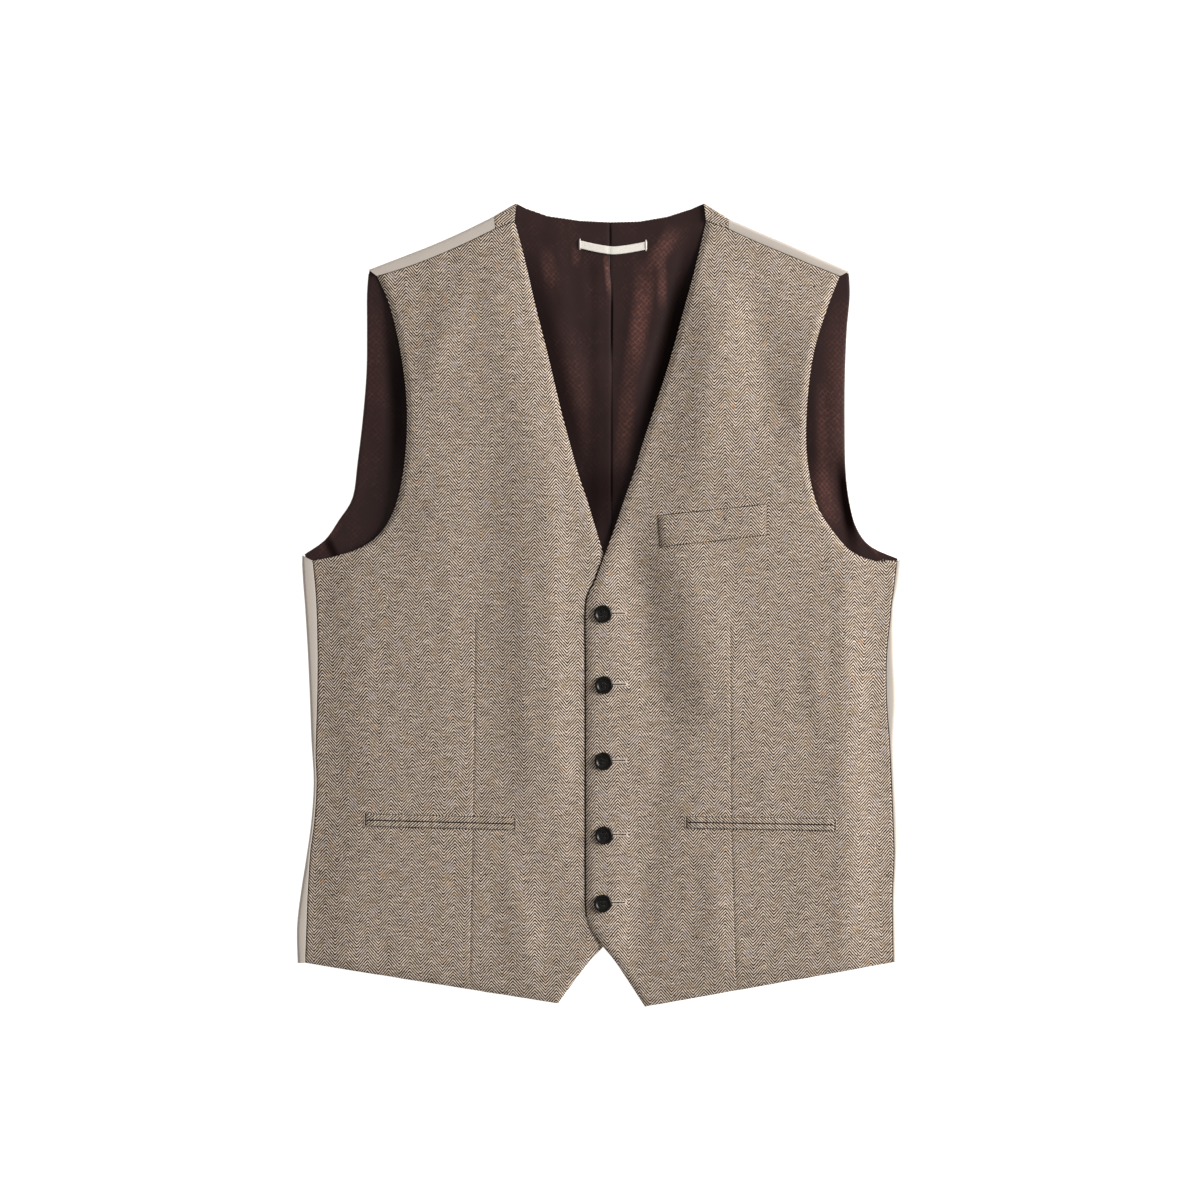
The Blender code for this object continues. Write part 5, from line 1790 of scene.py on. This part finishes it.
class WAISTCOAT_OT_neck_band(bpy.types.Operator):
    """Makes the tweed band round the back of the neck"""

    bl_idname = "waistcoat.neck_band"
    bl_label = "Make Neck Band"

    def execute(self, context):
        mesh = rolled_mesh("tweed_neck_band", neck_band_grids(), SATIN_WALL, band_uv)
        item = new_object("tweed_neck_band", mesh, "herringbone_tweed", "neck_band")
        return {"FINISHED"}


class WAISTCOAT_OT_lining(bpy.types.Operator):
    """Makes both halves of the back lining, with the ease pleat between them"""

    bl_idname = "waistcoat.lining"
    bl_label = "Make Lining"

    def execute(self, context):
        for side in SIDES:
            name = "satin_lining_" + side.name
            points = lining_points(side)
            walls = press_pleat(points) if side.sign < 0 else LINING_WALL
            mesh = shell_mesh(name, points, walls, plain_weave)
            item = new_object(name, mesh, "lattice_lining", "lining_" + side.name)
        return {"FINISHED"}


class WAISTCOAT_OT_hanger_loop(bpy.types.Operator):
    """Makes the hanger loop of tape and the bar tacks at its ends"""

    bl_idname = "waistcoat.hanger_loop"
    bl_label = "Make Hanger Loop"

    def execute(self, context):
        linings = ["satin_lining_right", "satin_lining_left"]
        name = "tape_hanger_loop"
        points = loop_points(surface_of(*linings))
        mesh = shell_mesh(name, points, TAPE_WALL, plain_weave)
        item = new_object(name, mesh, "cream_tape", "hanger_loop")
        height = surface_of(name, *linings)
        tacks = []
        for x, y in (shift(LOOP_LEFT, TACK_IN, 0.0), shift(LOOP_RIGHT, -TACK_IN, 0.0)):
            tacks.append(laid_path([(x, y + offset) for offset in TACK_POINTS], height, TACK_RISE))
        sew("loop_bar_tacks", tacks, TACK_STITCHES)
        return {"FINISHED"}


class WAISTCOAT_OT_pockets(bpy.types.Operator):
    """Makes the breast welt and the double-jetted hip pockets"""

    bl_idname = "waistcoat.pockets"
    bl_label = "Make Pockets"

    def execute(self, context):
        lay_strip(WELT, "tweed_front_left", WELT_WALL, WELT_STEPS, WELT_CROWN, welt_weave)
        for side, (upper, lower) in zip(SIDES, (JETS[:2], JETS[2:])):
            front = "tweed_front_" + side.name
            # A near-black sheet of painted shade in the mouth between the jets.
            corners = (shift(upper[7:9], MOUTH_IN, MOUTH_UNDER), shift(upper[5:7], -MOUTH_IN, MOUTH_UNDER),
                       shift(lower[3:5], -MOUTH_IN, -MOUTH_UNDER), shift(lower[1:3], MOUTH_IN, -MOUTH_UNDER))
            mouth = Strip("pocket_mouth_" + side.name, *sum(corners, ()))
            rows = strip_points(mouth, surface_of(front), (JET_STEPS[0], 1), 0.0)
            points = [[Vector((x, y, z - MOUTH_SINK)) for x, y, z in row] for row in rows]
            mesh = shell_mesh(mouth.name, points, MOUTH_WALL, plain_weave)
            mouth_shade_sheet = new_object(mouth.name, mesh, "pocket_inside")
            lay_strip(upper, front, JET_WALL, JET_STEPS, JET_CROWN, jet_weave(upper))
            lay_strip(lower, front, JET_WALL, JET_STEPS, JET_CROWN, jet_weave(lower))
        return {"FINISHED"}


class WAISTCOAT_OT_buttons(bpy.types.Operator):
    """Makes the five turned buttons with their four holes"""

    bl_idname = "waistcoat.buttons"
    bl_label = "Make Buttons"

    def execute(self, context):
        blank = turned_button(context.scene.waistcoat_buttons.sides)
        for number, (x, y) in enumerate(BUTTON_PLACES, 1):
            node = "button_%d" % number
            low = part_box(node)[0]
            mesh = blank.copy()
            for vertex in mesh.vertices:
                vertex.co += Vector((x * MM, y * MM, low.z))
            new_object("horn_" + node, mesh, "dark_horn", node)
        bpy.data.meshes.remove(blank)
        return {"FINISHED"}


class WAISTCOAT_OT_stitching(bpy.types.Operator):
    """Sews the buttonholes, the buttons, the pockets, the darts and the rows of painted shadow under the
    front's edge and in the lining's seam
    """

    bl_idname = "waistcoat.stitching"
    bl_label = "Sew Stitching"

    def execute(self, context):
        self.sew_buttonholes()
        self.sew_buttons()
        strips = ["tweed_" + strip.name for strip in (WELT, *JETS)]
        pockets = surface_of("tweed_front_left", "tweed_front_right", *strips)
        # Dark seam thread whose lines also paint the shade of the seams' grooves and of the welt's opening.
        sew_lines("welt_seam", WELT_LINES, pockets, "seam_thread", "tweed")
        sew_lines("jet_seam", JET_LINES, pockets, "seam_thread", "tweed")
        sew_lines("pocket_catch", PALE_LINES, pockets, "catch_thread", "tweed")
        # Near-black rows of painted shade in the pocket slits.
        sew_lines("pocket_slit", SLIT_SHADE_LINES, pockets, "pocket_inside", "lining")
        for side in SIDES:
            self.sew_dart(side)
        self.sew_hidden_seams()
        return {"FINISHED"}

    def sew_buttonholes(self):
        front = surface_of("tweed_front_left")
        holes, slits, bars = [], [], []
        for x, y in BUTTON_PLACES:
            start_x, end_x, middle_y = x + HOLE_START, x + HOLE_END, y + HOLE_OFFSET
            slit = [(start_x + i, middle_y) for i in range(int(HOLE_END - HOLE_START))]
            bar_y = spaced(middle_y - 0.5 * HOLE_BAR, middle_y + 0.5 * HOLE_BAR, HOLE_BAR_STEPS)
            holes.append(laid_path(buttonhole_outline(start_x, end_x, middle_y), front, HOLE_RISE))
            # A near-black row of painted shade in each buttonhole's slit.
            slits.append(laid_path(slit, front, SLIT_RISE))
            bars.append(laid_path([(end_x + HOLE_BAR_OFF, at) for at in bar_y], front, SLIT_RISE))
        sew("buttonhole_stitches", holes, HOLE_STITCHES)
        sew("buttonhole_slits", slits, SLIT_SHADE_STITCHES)
        sew("buttonhole_bars", bars, BAR_STITCHES)

    def sew_buttons(self):
        crossings = []
        half = 0.5 * HOLE_SPACING
        for number, (x, y) in enumerate(BUTTON_PLACES, 1):
            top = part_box("button_%d" % number)[0].z / MM + BUTTON_FLAT + THREAD_RISE
            for row_y in (y - half, y + half):
                crossings.append([(x - half, row_y, top - THREAD_DIP), (x - THREAD_SPAN * half, row_y, top),
                                  (x + THREAD_SPAN * half, row_y, top), (x + half, row_y, top - THREAD_DIP)])
        sew("button_threads", crossings, BUTTON_STITCHES)

    def sew_dart(self, side):
        """Sews the dart's groove with dark seam thread that also paints its shade, above and below the
        pocket.
        """
        front = surface_of("tweed_front_" + side.name)
        rows = []
        for high, low in ((side.dart.top_y, JETS[0].y0 + DART_ABOVE), (JETS[0].y0 - DART_BELOW, HEM_STOP_Y)):
            heights = spaced(high, low, int((high - low) / LINE_STEP))
            rows.append(laid_path([(dart_x(side.dart, y), y) for y in heights], front, 0.0))
        sew("dart_seam_" + side.name, rows, DART_STITCHES)

    def sew_hidden_seams(self):
        """Sews the near-black rows of painted shadow under the front's edge and in the seam of the lining."""
        # A near-black row of painted shadow under the left front's edge, where its lap casts shade on the
        # right front.
        rows = [row for row in side_rows(LEFT, ROW_STEPS) if row.edge_y > EDGE_SHADOW_LOW]
        edge = [(row.edge_x + EDGE_SHADOW_IN, row.edge_y) for row in rows]
        laid = laid_path(edge, surface_of("tweed_front_right"), 0.0)
        sew("front_edge_row", [[point for point in laid if point[2] > 0.0]], EDGE_SHADOW_STITCHES)
        # A near-black row of painted shade in the lining's seam, down to the pleat's opening.
        x = CENTRE_X + 0.5 * LINING_ROOM
        steps = int((NECK_EDGE_Y - PLEAT_OPEN_Y) / LINE_STEP)
        heights = spaced(NECK_EDGE_Y - LINING_SEAM_TOP, PLEAT_OPEN_Y - LINING_SEAM_LOW, steps)
        seam = [(x, y, lining_height(LEFT, x, y) - LINING_SEAM_SINK) for y in heights]
        sew("lining_seam", [seam], LINING_SEAM_SHADE_STITCHES)


class WAISTCOAT_OT_stage(bpy.types.Operator):
    """Sets the pale floor, the soft lights and the camera straight above"""

    bl_idname = "waistcoat.stage"
    bl_label = "Set Stage"

    def execute(self, context):
        scene = context.scene
        look = scene.waistcoat_stage
        bpy.ops.mesh.primitive_plane_add(size=FLOOR_SIZE, location=(0.0, 0.0, -FLOOR_DROP))
        floor = context.active_object
        floor.name = "floor"
        floor.data.materials.append(material_of("pale_floor"))
        world = bpy.data.worlds.new("studio")
        world.use_nodes = True
        background = world.node_tree.nodes["Background"]
        background.inputs["Color"].default_value = (*WHITE, 1.0)
        background.inputs["Strength"].default_value = look.sky
        scene.world = world
        self.lamp("key_light", KEY_PLACE, KEY_SIZE, look.key_power)
        self.lamp("fill_light", FILL_PLACE, FILL_SIZE, look.fill_power)
        camera = linked(bpy.data.objects.new("camera", bpy.data.cameras.new("camera")))
        camera.data.sensor_width = SENSOR_WIDTH
        camera.data.lens = SENSOR_WIDTH * look.camera_height / look.view_width
        camera.data.clip_end = CLIP_END
        camera.location = (VIEW_CENTRE[0] * MM, VIEW_CENTRE[1] * MM, look.camera_height)
        scene.camera = camera
        scene.view_settings.view_transform = "Standard"
        return {"FINISHED"}

    def lamp(self, name, place, size, power):
        light = bpy.data.lights.new(name, "AREA")
        light.shape = "DISK"
        light.size = size
        light.energy = power
        item = linked(bpy.data.objects.new(name, light))
        item.location = place
        item.rotation_mode = "QUATERNION"
        item.rotation_quaternion = (-Vector(place)).to_track_quat("-Z", "Y")


class WAISTCOAT_PT_panel(bpy.types.Panel):
    """Sizes, colours and the steps that make the waistcoat"""

    bl_idname = "WAISTCOAT_PT_panel"
    bl_label = "Suit Waistcoat"
    bl_space_type = "VIEW_3D"
    bl_region_type = "UI"
    bl_category = "Waistcoat"

    def draw(self, context):
        layout = self.layout
        for name, group in SETTINGS:
            box = layout.box()
            box.label(text=group.bl_rna.description)
            settings = getattr(context.scene, name)
            for prop in group.__annotations__:
                box.prop(settings, prop)
        for operator in STEPS:
            layout.operator(operator.bl_idname)


SETTINGS = (
    ("waistcoat_tweed", WaistcoatTweed),
    ("waistcoat_satin", WaistcoatSatin),
    ("waistcoat_lining", WaistcoatLining),
    ("waistcoat_buttons", WaistcoatButtons),
    ("waistcoat_stage", WaistcoatStage),
)
# In the order in which they have to run.
STEPS = (
    WAISTCOAT_OT_stage,
    WAISTCOAT_OT_back,
    WAISTCOAT_OT_neck_band,
    WAISTCOAT_OT_lining,
    WAISTCOAT_OT_hanger_loop,
    WAISTCOAT_OT_fronts,
    WAISTCOAT_OT_pockets,
    WAISTCOAT_OT_buttons,
    WAISTCOAT_OT_stitching,
)


def register():
    for name, group in SETTINGS:
        bpy.utils.register_class(group)
        setattr(bpy.types.Scene, name, PointerProperty(type=group))
    for item in STEPS + (WAISTCOAT_PT_panel,):
        bpy.utils.register_class(item)


def unregister():
    for item in (WAISTCOAT_PT_panel,) + STEPS[::-1]:
        bpy.utils.unregister_class(item)
    for name, group in reversed(SETTINGS):
        delattr(bpy.types.Scene, name)
        bpy.utils.unregister_class(group)


def main():
    register()
    bpy.ops.waistcoat.stage()
    bpy.ops.waistcoat.back()
    bpy.ops.waistcoat.neck_band()
    bpy.ops.waistcoat.lining()
    bpy.ops.waistcoat.hanger_loop()
    bpy.ops.waistcoat.fronts()
    bpy.ops.waistcoat.pockets()
    bpy.ops.waistcoat.buttons()
    bpy.ops.waistcoat.stitching()


if __name__ == "__main__":
    main()
